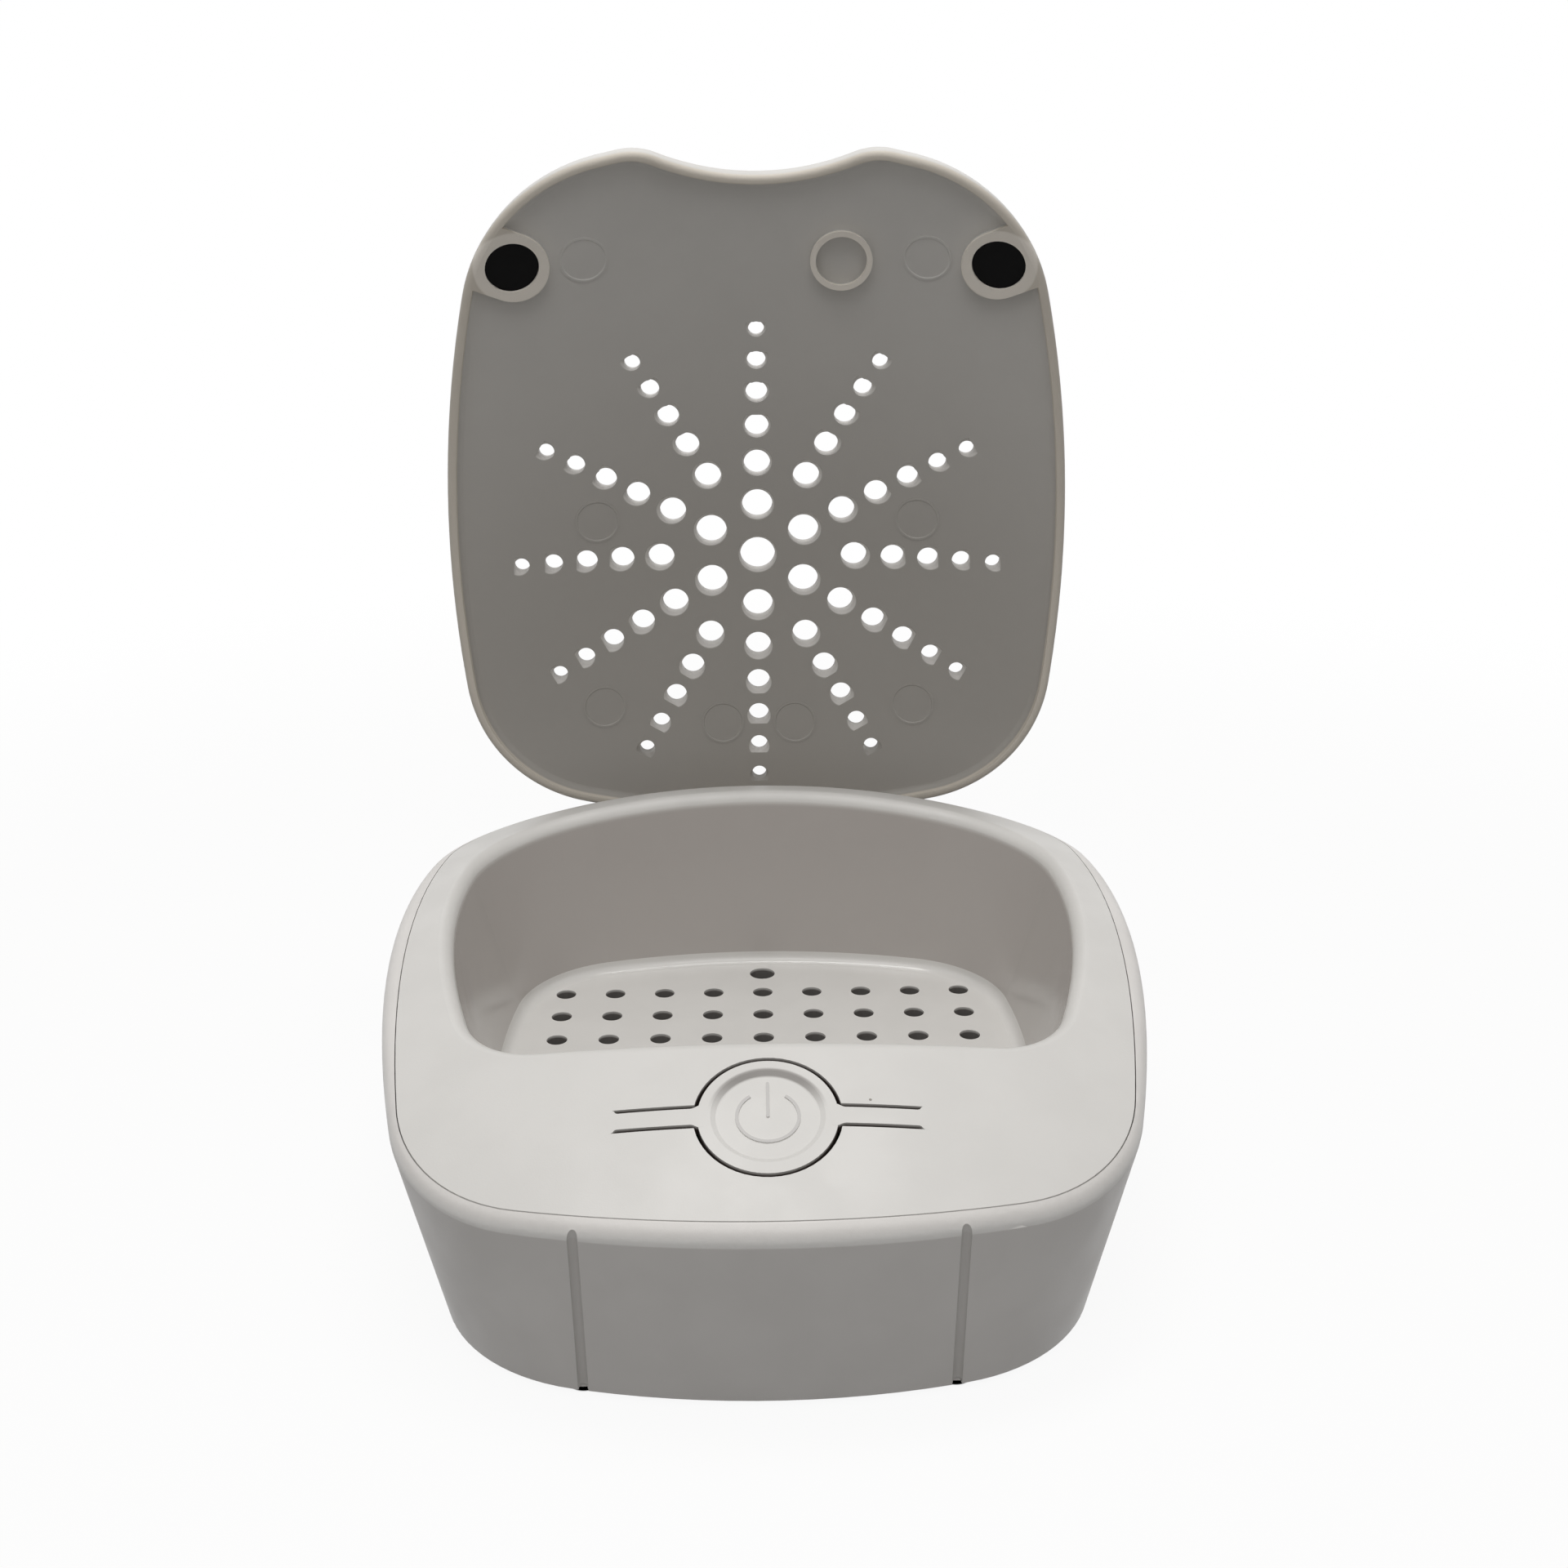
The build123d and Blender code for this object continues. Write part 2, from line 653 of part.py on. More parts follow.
# ---- power button ----
with BuildPart() as power_button:
    with BuildSketch(button_plane.offset(-cover_thickness)):
        Circle(button_radius)
    extrude(amount=2 * cover_thickness)
    with Locations(crown_centre):
        crown_ball(crown_radius, Mode.INTERSECT)
    with Locations(button_plane):
        with Locations((0, 0, -button_dish_depth)):
            Cone(
                button_dish_floor,
                button_dish_radius + button_dish_radius - button_dish_floor,
                2 * button_dish_depth,
                align=(Align.CENTER, Align.CENTER, Align.MIN),
                mode=Mode.SUBTRACT,
            )
    # raised power symbol
    with BuildSketch(button_plane.offset(-button_dish_depth)):
        Circle(symbol_radius + symbol_line / 2)
        Circle(symbol_radius - symbol_line / 2, mode=Mode.SUBTRACT)
        opening_half = symbol_radius * 2 * tan(radians(symbol_opening / 2))
        with BuildLine():
            Polyline(
                (0, 0),
                (opening_half, 2 * symbol_radius),
                (-opening_half, 2 * symbol_radius),
                close=True,
            )
        make_face(mode=Mode.SUBTRACT)
        with Locations((0, (symbol_bar_low + symbol_bar_high) / 2)):
            SlotOverall(symbol_bar_high - symbol_bar_low, symbol_line, rotation=90)
    extrude(amount=symbol_depth)
    plunger_top = -board_depth + switch_height + plunger_out
    with BuildSketch(button_plane.offset(-cover_thickness)):
        Circle(button_post_radius)
    extrude(amount=plunger_top + button_play + cover_thickness)
save(power_button.part, "power_button")

# ---- the two arms that carry the button ----
arm_inner_end = sqrt(button_radius**2 - (arm_width / 2) ** 2)
for name, side in (("button_arm_left", -1), ("button_arm_right", 1)):
    with BuildPart() as button_arm:
        with BuildSketch(button_plane.offset(-2 * arm_thickness)):
            with Locations((side * (arm_reach - arm_gap), 0)):
                Rectangle(
                    arm_reach - arm_inner_end,
                    arm_width,
                    align=(Align.MAX if side == 1 else Align.MIN, Align.CENTER),
                )
            Circle(button_radius + arm_gap, mode=Mode.SUBTRACT)
        extrude(amount=4 * arm_thickness)
        with Locations(crown_centre):
            crown_ball(crown_radius, Mode.INTERSECT)
            crown_ball(crown_radius - arm_thickness, Mode.SUBTRACT)
    save(button_arm.part, name)

# ---- control board and what it carries ----
with BuildPart() as control_board:
    with BuildSketch(board_plane):
        with Locations((0, board_middle)):
            RectangleRounded(2 * board_half_length, board_front + board_rear, board_corner)
        with Locations(*board_screw_spots):
            Circle(board_screw[0] + screw_clearance, mode=Mode.SUBTRACT)
    extrude(amount=-board_thickness)
save(control_board.part, "control_board")

with BuildPart() as switch_body:
    with BuildSketch(board_plane):
        Rectangle(switch_size, switch_size)
    extrude(amount=switch_height)
    fillet(edges().filter_by(lambda edge: abs(edge.length - switch_height) < 0.01), switch_corner)
    with BuildSketch(board_plane.offset(switch_height)):
        Circle(plunger_radius + running_fit)
    extrude(amount=plunger_out - plunger_length - button_travel - plunger_clearance, mode=Mode.SUBTRACT)
save(switch_body.part, "switch_body")

with BuildPart() as switch_plunger:
    with BuildSketch(board_plane.offset(switch_height + plunger_out)):
        Circle(plunger_radius)
    extrude(amount=-plunger_length)
save(switch_plunger.part, "switch_plunger")

with BuildPart() as indicator_led:
    with BuildSketch(board_plane):
        with Locations((led_x, 0)):
            Circle(led_radius)
    extrude(amount=led_height)
    fillet(edges().sort_by(lambda edge: board_plane.to_local_coords(edge.center()).Z)[-1], led_radius * 0.8)
save(indicator_led.part, "indicator_led")

with BuildPart() as controller_chip:
    with BuildSketch(board_plane):
        with Locations((chip_x, 0)):
            Rectangle(chip_size, chip_size)
    extrude(amount=chip_height)
save(controller_chip.part, "controller_chip")


def screw_set(plane, spots, sizes, length):
    # screws that enter against the plane's Z with their heads standing on the plane
    shank_radius, head_radius, head_height = sizes
    with BuildPart() as screws:
        with BuildSketch(plane):
            with Locations(*spots):
                Circle(head_radius)
        extrude(amount=head_height)
        fillet(
            edges().sort_by(lambda edge: plane.to_local_coords(edge.center()).Z)[-len(spots) :],
            head_height / 3,
        )
        with BuildSketch(plane):
            with Locations(*spots):
                Circle(shank_radius)
        extrude(amount=-length)
        with BuildSketch(plane.offset(head_height)):
            with Locations(*spots):
                Rectangle(head_radius, shank_radius / 3)
                Rectangle(shank_radius / 3, head_radius)
        extrude(amount=-head_height / 2, mode=Mode.SUBTRACT)
    return screws.part


upside_down = Plane(origin=(0, 0, underside + cover_screw_seat), x_dir=(1, 0, 0), z_dir=(0, 0, -1))
cover_screw_length = cover_post_height - cover_screw_seat + cover_screw_grip
cover_screws = screw_set(
    upside_down, [(x, -y) for x, y in cover_screw_spots], cover_screw, cover_screw_length
)
save(cover_screws, "cover_screws")

board_underside = Plane(
    origin=board_bottom_plane.origin,
    x_dir=board_bottom_plane.x_dir,
    z_dir=-board_bottom_plane.z_dir,
)
board_screws = screw_set(
    board_underside, [(x, -y) for x, y in board_screw_spots], board_screw, board_screw_length
)
save(board_screws, "board_screws")

heater_screws = screw_set(Plane.XY.offset(heater_top), heater_screw_spots, heater_screw, heater_screw_length)
save(heater_screws, "heater_screws")

socket_screws = screw_set(
    Plane.XY.offset(socket_board_top), socket_screw_spots, socket_screw, socket_screw_length
)
save(socket_screws, "socket_screws")

# ---- heater ----
with BuildPart() as heater_plate:
    with BuildSketch(Plane.XY.offset(heater_bottom)):
        with Locations((0, heater_y)):
            RectangleRounded(heater_length, heater_depth, plate_corner)
        with Locations(*heater_screw_spots):
            Circle(heater_screw[0] + screw_clearance, mode=Mode.SUBTRACT)
    extrude(amount=heater_thickness)
save(heater_plate.part, "heater_plate")

with BuildPart() as heater_element:
    with BuildSketch(Plane.XY.offset(heater_bottom)):
        with Locations((element_x, heater_y)):
            RectangleRounded(element_length, element_depth, element_corner)
    extrude(amount=-element_thickness)
save(heater_element.part, "heater_element")

fuse_z = heater_bottom - fuse_radius
fuse_front = heater_y - fuse_length / 2
fuse_rear = heater_y + fuse_length / 2
with BuildPart() as thermal_fuse:
    with BuildSketch(Plane.XZ.offset(-fuse_front)):
        with Locations((fuse_x, fuse_z)):
            Circle(fuse_radius)
    extrude(amount=-fuse_length)
save(thermal_fuse.part, "thermal_fuse")

with BuildPart() as heat_shield:
    with BuildSketch(Plane.XY.offset(tub_floor)):
        with Locations((0, heater_y)):
            RectangleRounded(
                heater_length + 2 * shield_margin, heater_depth + 2 * shield_margin, plate_corner
            )
        with Locations(*heater_screw_spots):
            Circle(heater_post_radius + running_fit, mode=Mode.SUBTRACT)
    extrude(amount=shield_thickness)
save(heat_shield.part, "heat_shield")

# ---- power socket ----
with BuildPart() as socket_board:
    with BuildSketch(Plane.XY.offset(socket_board_bottom)):
        with Locations((0, socket_board_front + socket_board_depth / 2)):
            Rectangle(socket_board_length, socket_board_depth)
        with Locations(*socket_screw_spots):
            Circle(socket_screw[0] + screw_clearance, mode=Mode.SUBTRACT)
    extrude(amount=socket_board_thickness)
save(socket_board.part, "socket_board")

with BuildPart() as power_socket:
    with BuildSketch(Plane.XZ.offset(-socket_mouth_y)):
        with Locations((0, socket_z)):
            SlotOverall(socket_width, socket_height)
    extrude(amount=socket_length)
    with BuildSketch(Plane.XZ.offset(-socket_mouth_y)):
        with Locations((0, socket_z)):
            SlotOverall(socket_width - 2 * socket_skin, socket_height - 2 * socket_skin)
    extrude(amount=socket_length - 3 * socket_skin, mode=Mode.SUBTRACT)
save(power_socket.part, "power_socket")

with BuildPart() as socket_tongue:
    tongue_length = socket_length - 3 * socket_skin - tongue_setback
    with BuildSketch(Plane.XZ.offset(tongue_setback - socket_mouth_y)):
        with Locations((0, socket_z)):
            Rectangle(tongue_width, tongue_thickness)
    extrude(amount=tongue_length)
save(socket_tongue.part, "socket_tongue")

# ---- leads inside the tub ----
lead_hole_x = 12.0
lead_hole_y = 1.5


def lead(points, radius):
    radii = bend_radii(points)
    with BuildPart() as tube:
        with BuildLine() as route:
            FilletPolyline(*points, radius=radii)
        with BuildSketch(Plane(origin=points[0], z_dir=Vector(*points[1]) - Vector(*points[0]))):
            Circle(radius)
        sweep(path=route.wire())
    print("lead radii", [round(bend, 1) for bend in radii])
    return tube.part


def board_exit(side):
    # a lead's end at the control board's underside and the point it comes up from
    end = board_bottom_plane.from_local_coords((side * lead_hole_x, lead_hole_y, 0))
    start = board_bottom_plane.from_local_coords((side * lead_hole_x, lead_hole_y, -lead_stub))
    return [tuple(start), tuple(end)]


power_lead_z = socket_board_bottom + socket_board_thickness / 2
power_leads = lead(
    [
        (socket_board_length / 2, 33.0, power_lead_z),
        (14.0, 33.0, power_lead_z),
        (21.0, 29.5, power_lead_z),
        (26.5, 25.0, power_lead_z),
        (30.3, 18.0, power_lead_z),
        (30.8, 2.0, power_lead_z),
        (29.0, -13.0, power_lead_z),
        (23.5, -24.0, power_lead_z + 0.6),
        (15.5, -26.8, power_lead_z + 3.6),
        *board_exit(1),
    ],
    power_lead_radius,
)
save(power_leads, "power_leads")

heater_lead_route = [
    (fuse_x, fuse_front, fuse_z),
    (fuse_x, fuse_front - 8.0, fuse_z),
    (fuse_x, -19.0, fuse_z + 0.2),
    (fuse_x + 0.6, -25.2, fuse_z + 2.6),
    *board_exit(-1),
]
link_route = [
    (fuse_x, fuse_rear, fuse_z),
    (fuse_x, heater_y + element_depth / 2 - link_inset, fuse_z),
    (element_x - element_length / 2, heater_y + element_depth / 2 - link_inset, fuse_z),
]
heater_leads = lead(heater_lead_route, heater_lead_radius) + lead(link_route, heater_lead_radius)
save(heater_leads, "heater_leads")

# ---- keepers under the cover ----
for name, plane in keeper_planes.items():
    with BuildPart() as keeper:
        with BuildSketch(plane):
            Circle(keeper_radius)
        extrude(amount=-keeper_thickness)
    save(keeper.part, f"keeper_{name}")

# ---- lid, drawn closed and carried to where it rests open ----
magnet_rise = lid_gap + magnet_recess + magnet_thickness
magnet_seats = {
    "left": lid_plane(crown_plane(-magnet_x, magnet_y).offset(magnet_rise)),
    "right": lid_plane(crown_plane(magnet_x, magnet_y).offset(magnet_rise)),
}
boss_radius = magnet_radius + running_fit + magnet_wall
lid_top = crown_top + lid_gap + lid_lip_depth + 2 * lid_thickness
hole_spots = [(centre_hole / 2, [(0, pattern_y)])]
for ring, (radius, diameter, count) in enumerate(zip(ring_radii, ring_holes, ring_counts)):
    start = first_ring_angle if count == 6 else 0.0
    spots = [
        (
            radius * cos(radians(start + 360 * step / count)),
            pattern_y + radius * sin(radians(start + 360 * step / count)),
        )
        for step in range(count)
    ]
    hole_spots.append((diameter / 2, spots))

with BuildPart() as lid_space:
    # what is hollow between the lip and the plate
    with BuildSketch(lid_plane(Plane.XY)):
        lid_outline(lid_lip_width)
    extrude(amount=lid_top)
    with Locations(opening * Location(crown_centre)):
        crown_ball(lid_inside, Mode.INTERSECT)
    fillet(crown_face().outer_wire().edges(), lid_cove)
    # the magnets' bosses and the empty ring are left standing
    with BuildSketch(lid_plane(Plane.XY)):
        for side in (1, -1):
            run_out = magnet_boss_angle if side == -1 else 180 - magnet_boss_angle
            with Locations((side * magnet_x, magnet_y)):
                Circle(boss_radius)
                Rectangle(magnet_x, 2 * boss_radius, rotation=180 + run_out, align=(Align.MIN, Align.CENTER))
        with Locations((spare_ring_x, magnet_y)):
            Circle(spare_ring_outer)
            Circle(spare_ring_inner, mode=Mode.SUBTRACT)
    extrude(amount=lid_top, mode=Mode.SUBTRACT)

with BuildPart() as lid_arm:
    with BuildSketch(lid_plane(Plane.YZ.offset(-hinge_half_width))):
        arm_front = hinge_y - lid_arm_inner
        arm_back = hinge_y + lid_arm_outer
        lip_front = lid_rear - lid_lip_width - lid_arm_inner
        lip_bottom = crown_z(0, lip_front, lid_contact)
        with BuildLine():
            Polyline(
                (arm_front, hinge_z),
                (arm_front, lip_bottom),
                (lip_front, lip_bottom),
                (lip_front, lid_top),
                (arm_back, lid_top),
                (arm_back, hinge_z),
                close=True,
            )
        make_face()
        with Locations((hinge_y, hinge_z)):
            Circle(barrel_radius)
    extrude(amount=2 * hinge_half_width)
    with Locations(opening * Location(crown_centre)):
        crown_ball(lid_outside, Mode.INTERSECT)

with BuildPart() as lid:
    with BuildSketch(lid_plane(Plane.XY)):
        lid_outline(0)
    extrude(amount=lid_top)
    with Locations(opening * Location(crown_centre)):
        crown_ball(lid_outside, Mode.INTERSECT)
        crown_ball(lid_contact, Mode.SUBTRACT)
    fillet(crown_face().outer_wire().edges(), lid_edge_rounding)
    add(lid_space.part, mode=Mode.SUBTRACT)
    add(lid_arm.part)
    with BuildSketch(lid_plane(Plane.YZ.offset(-hinge_half_width))):
        with Locations((hinge_y, hinge_z)):
            Circle(pin_radius + running_fit)
    extrude(amount=2 * hinge_half_width, mode=Mode.SUBTRACT)
    # air holes, eased on the inside, and bores for the magnets
    with BuildSketch(lid_plane(Plane.XY)):
        for radius, spots in hole_spots:
            with Locations(*spots):
                Circle(radius)
    extrude(amount=lid_top, mode=Mode.SUBTRACT)
    for radius, spots in hole_spots:
        for x, y in spots:
            mouth = crown_z(x, y, lid_inside) - hole_chamfer
            with Locations(lid_plane(Plane(origin=(x, y, mouth)))):
                Cone(
                    radius + 2 * hole_chamfer,
                    radius,
                    2 * hole_chamfer,
                    align=(Align.CENTER, Align.CENTER, Align.MIN),
                    mode=Mode.SUBTRACT,
                )
    for plane in magnet_seats.values():
        with BuildSketch(plane):
            Circle(magnet_radius + running_fit)
        extrude(amount=-2 * magnet_thickness, mode=Mode.SUBTRACT)
save(lid.part, "lid")

for name, plane in magnet_seats.items():
    with BuildPart() as lid_magnet:
        with BuildSketch(plane):
            Circle(magnet_radius)
        extrude(amount=-magnet_thickness)
    save(lid_magnet.part, f"lid_magnet_{name}")

# ---- hinge pin ----
with BuildPart() as hinge_pin:
    with BuildSketch(Plane.YZ.offset(-block_half_width)):
        with Locations((hinge_y, hinge_z)):
            Circle(pin_radius)
    extrude(amount=2 * block_half_width)
    chamfer(hinge_pin.edges(), pin_radius / 5)
save(hinge_pin.part, "hinge_pin")
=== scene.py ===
import json
import math

import bmesh
import bpy
from mathutils import Matrix, Vector


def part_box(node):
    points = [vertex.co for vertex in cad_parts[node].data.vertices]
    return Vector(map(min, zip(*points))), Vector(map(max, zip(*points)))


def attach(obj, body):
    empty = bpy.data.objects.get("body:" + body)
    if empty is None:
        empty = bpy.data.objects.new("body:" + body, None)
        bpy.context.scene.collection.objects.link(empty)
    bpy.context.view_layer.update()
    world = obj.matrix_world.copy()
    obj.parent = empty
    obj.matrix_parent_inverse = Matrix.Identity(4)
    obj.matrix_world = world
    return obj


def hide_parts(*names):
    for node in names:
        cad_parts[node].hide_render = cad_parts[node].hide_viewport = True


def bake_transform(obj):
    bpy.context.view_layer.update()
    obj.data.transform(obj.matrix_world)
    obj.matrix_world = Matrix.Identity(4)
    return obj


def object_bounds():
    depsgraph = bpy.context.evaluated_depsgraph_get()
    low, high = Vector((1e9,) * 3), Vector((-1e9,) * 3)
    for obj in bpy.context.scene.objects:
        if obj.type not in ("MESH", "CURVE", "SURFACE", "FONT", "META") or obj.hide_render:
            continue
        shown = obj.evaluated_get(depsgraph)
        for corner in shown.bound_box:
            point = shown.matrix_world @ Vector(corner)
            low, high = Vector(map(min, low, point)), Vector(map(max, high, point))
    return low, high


# A small heated dryer for hearing aids, dressed for the picture: camera, light, finishes and
# the small moulded details that the solids leave out.
mm = 0.001
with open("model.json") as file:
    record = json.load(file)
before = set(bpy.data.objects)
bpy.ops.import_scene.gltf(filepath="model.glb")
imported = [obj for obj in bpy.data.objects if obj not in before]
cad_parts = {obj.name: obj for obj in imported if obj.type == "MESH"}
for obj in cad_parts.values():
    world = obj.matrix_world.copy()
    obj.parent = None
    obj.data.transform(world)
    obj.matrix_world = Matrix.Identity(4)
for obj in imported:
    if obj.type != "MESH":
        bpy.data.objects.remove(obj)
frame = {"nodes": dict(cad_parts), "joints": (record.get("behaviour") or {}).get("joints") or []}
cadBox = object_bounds()
nodes = frame["nodes"]
bpy.ops.object.select_all(action="DESELECT")
print("frame loaded")

# ---- camera ----
cameraLook = {
    "place": (-1.29 * mm, -178.67 * mm, 106.76 * mm),
    "lens": 42.0,
    "sensor": 36.0,
    "pitch": 19.342,             # degrees below the horizon
    "yaw": 1.127,
    "roll": -0.232,
    "nearest": 0.01,
}


def makeCamera(look):
    pitch, yaw, roll = (math.radians(look[key]) for key in ("pitch", "yaw", "roll"))
    ahead = Vector((math.sin(yaw) * math.cos(pitch), math.cos(yaw) * math.cos(pitch), -math.sin(pitch)))
    level = Vector((math.cos(yaw), -math.sin(yaw), 0))
    upright = level.cross(ahead)
    right = level * math.cos(roll) + upright * math.sin(roll)
    up = upright * math.cos(roll) - level * math.sin(roll)
    data = bpy.data.cameras.new("photoCamera")
    data.lens = look["lens"]
    data.sensor_width = look["sensor"]
    data.clip_start = look["nearest"]
    camera = bpy.data.objects.new("photoCamera", data)
    bpy.context.scene.collection.objects.link(camera)
    turn = Matrix((right, up, -ahead)).transposed().to_4x4()
    camera.matrix_world = Matrix.Translation(look["place"]) @ turn
    bpy.context.scene.camera = camera


makeCamera(cameraLook)
bpy.context.scene.view_settings.view_transform = "Standard"
print("camera set")

# ---- places shared by the pieces, read from the frame where it gives them ----
lidJoint = [joint for joint in frame["joints"] if joint["name"] == "lid_hinge"][0]
pressJoint = [joint for joint in frame["joints"] if joint["name"] == "button_press"][0]
hingePlace = Vector(lidJoint["pos_m"])
swing = math.radians(lidJoint["range_deg"][1])
crown = {"centre": Vector((0, 10.4 * mm, -87.9 * mm)), "radius": 121.1 * mm}
lidRise = 1.2 * mm                # the closed lid's inner face over the crown
lidThickness = 1.6 * mm
lidSwing = (
    Matrix.Translation(hingePlace) @ Matrix.Rotation(-swing, 4, "X") @ Matrix.Translation(-hingePlace)
)
lidCentre = lidSwing @ crown["centre"]
lidInside = crown["radius"] + lidRise


def crownSpot(x, y, rise):
    # a place over the closed crown, from millimetres
    height = math.sqrt(crown["radius"] ** 2 - (x * mm) ** 2 - (y * mm - crown["centre"].y) ** 2)
    closed = Vector((x * mm, y * mm, crown["centre"].z + height))
    return closed + (closed - crown["centre"]).normalized() * rise * mm


pressInto = Vector(pressJoint["axis"])
buttonSpot = crown["centre"] - pressInto * crown["radius"]


# ---- shader groups ----
def newGroup(name, entries, results):
    group = bpy.data.node_groups.new(name, "ShaderNodeTree")
    for label, kind, value in entries:
        socket = group.interface.new_socket(name=label, in_out="INPUT", socket_type=kind)
        if value is not None:
            socket.default_value = value
    for label, kind in results:
        group.interface.new_socket(name=label, in_out="OUTPUT", socket_type=kind)
    return group, group.nodes.new("NodeGroupInput"), group.nodes.new("NodeGroupOutput")


def mathNode(tree, operation, first, second=None, third=None):
    node = tree.nodes.new("ShaderNodeMath")
    node.operation = operation
    for socket, value in zip(node.inputs, (first, second, third)):
        if value is None:
            continue
        if isinstance(value, (int, float)):
            socket.default_value = value
        else:
            tree.links.new(value, socket)
    return node.outputs[0]


def rampNode(tree, value, low, high, start=0.0, end=1.0):
    node = tree.nodes.new("ShaderNodeMapRange")
    node.interpolation_type = "SMOOTHSTEP"
    tree.links.new(value, node.inputs["Value"])
    for label, number in (("From Min", low), ("From Max", high), ("To Min", start), ("To Max", end)):
        node.inputs[label].default_value = number
    return node.outputs["Result"]


def noiseNode(tree, place, scale, detail, roughness=0.5):
    node = tree.nodes.new("ShaderNodeTexNoise")
    tree.links.new(place, node.inputs["Vector"])
    node.inputs["Detail"].default_value = detail
    node.inputs["Roughness"].default_value = roughness
    if isinstance(scale, (int, float)):
        node.inputs["Scale"].default_value = scale
    else:
        tree.links.new(scale, node.inputs["Scale"])
    return node.outputs["Fac"]


def mixColour(tree, share, first, second):
    node = tree.nodes.new("ShaderNodeMix")
    node.data_type = "RGBA"
    for socket, value in ((node.inputs[0], share), (node.inputs[6], first), (node.inputs[7], second)):
        if isinstance(value, (int, float)):
            socket.default_value = value
        elif isinstance(value, tuple):
            socket.default_value = (*value[:3], 1)
        else:
            tree.links.new(value, socket)
    return node.outputs[2]


grainMix = {"slow": 0.35, "fine": 0.65, "mottleFrom": 0.3, "mottleTo": 0.7}
streakRange = (0.35, 0.65)


def makeGrainGroup():
    # fine moulded texture over a slow unevenness
    group, entry, leave = newGroup(
        "mouldedGrain",
        [
            ("Place", "NodeSocketVector", None),
            ("Fineness", "NodeSocketFloat", 6000.0),
            ("Unevenness", "NodeSocketFloat", 120.0),
        ],
        [("Height", "NodeSocketFloat"), ("Mottle", "NodeSocketFloat")],
    )
    fine = noiseNode(group, entry.outputs["Place"], entry.outputs["Fineness"], 2.0, 0.6)
    slow = noiseNode(group, entry.outputs["Place"], entry.outputs["Unevenness"], 3.0, 0.5)
    fineShare = mathNode(group, "MULTIPLY", fine, grainMix["fine"])
    both = mathNode(group, "MULTIPLY_ADD", slow, grainMix["slow"], fineShare)
    mottle = rampNode(group, slow, grainMix["mottleFrom"], grainMix["mottleTo"])
    group.links.new(both, leave.inputs["Height"])
    group.links.new(mottle, leave.inputs["Mottle"])
    return group


def makeSpeckGroup():
    # sparse dust specks, a few tenths of a millimetre across
    group, entry, leave = newGroup(
        "dustSpecks",
        [
            ("Place", "NodeSocketVector", None),
            ("Density", "NodeSocketFloat", 150.0),
            ("Share", "NodeSocketFloat", 0.05),
            ("Size", "NodeSocketFloat", 0.04),
        ],
        [("Mask", "NodeSocketFloat")],
    )
    cells = group.nodes.new("ShaderNodeTexVoronoi")
    group.links.new(entry.outputs["Place"], cells.inputs["Vector"])
    group.links.new(entry.outputs["Density"], cells.inputs["Scale"])
    near = mathNode(group, "LESS_THAN", cells.outputs["Distance"], entry.outputs["Size"])
    parts = group.nodes.new("ShaderNodeSeparateColor")
    group.links.new(cells.outputs["Color"], parts.inputs["Color"])
    chosen = mathNode(group, "LESS_THAN", parts.outputs["Red"], entry.outputs["Share"])
    group.links.new(mathNode(group, "MULTIPLY", near, chosen), leave.inputs["Mask"])
    return group


def makeShellGroup():
    # how far a point is from a centre, as a soft step between two distances
    group, entry, leave = newGroup(
        "distanceStep",
        [
            ("Place", "NodeSocketVector", None),
            ("Centre", "NodeSocketVector", None),
            ("Near", "NodeSocketFloat", 0.0),
            ("Far", "NodeSocketFloat", 1.0),
        ],
        [("Mask", "NodeSocketFloat")],
    )
    away = group.nodes.new("ShaderNodeVectorMath")
    away.operation = "DISTANCE"
    group.links.new(entry.outputs["Place"], away.inputs[0])
    group.links.new(entry.outputs["Centre"], away.inputs[1])
    step = group.nodes.new("ShaderNodeMapRange")
    step.interpolation_type = "SMOOTHSTEP"
    group.links.new(away.outputs["Value"], step.inputs["Value"])
    group.links.new(entry.outputs["Near"], step.inputs["From Min"])
    group.links.new(entry.outputs["Far"], step.inputs["From Max"])
    group.links.new(step.outputs["Result"], leave.inputs["Mask"])
    return group


def makeAxisGroup():
    # a point's height along an axis through a spot, and its distance from that axis
    group, entry, leave = newGroup(
        "axisPlace",
        [
            ("Place", "NodeSocketVector", None),
            ("Spot", "NodeSocketVector", None),
            ("Along", "NodeSocketVector", (0, 0, 1)),
        ],
        [("Height", "NodeSocketFloat"), ("Radius", "NodeSocketFloat"), ("Offset", "NodeSocketVector")],
    )

    def vectorNode(operation, first, second):
        node = group.nodes.new("ShaderNodeVectorMath")
        node.operation = operation
        group.links.new(first, node.inputs[0])
        group.links.new(second, node.inputs["Scale"] if operation == "SCALE" else node.inputs[1])
        return node

    offset = vectorNode("SUBTRACT", entry.outputs["Place"], entry.outputs["Spot"]).outputs["Vector"]
    height = vectorNode("DOT_PRODUCT", offset, entry.outputs["Along"]).outputs["Value"]
    rise = vectorNode("SCALE", entry.outputs["Along"], height).outputs["Vector"]
    away = vectorNode("SUBTRACT", offset, rise).outputs["Vector"]
    length = group.nodes.new("ShaderNodeVectorMath")
    length.operation = "LENGTH"
    group.links.new(away, length.inputs[0])
    group.links.new(height, leave.inputs["Height"])
    group.links.new(length.outputs["Value"], leave.inputs["Radius"])
    group.links.new(away, leave.inputs["Offset"])
    return group


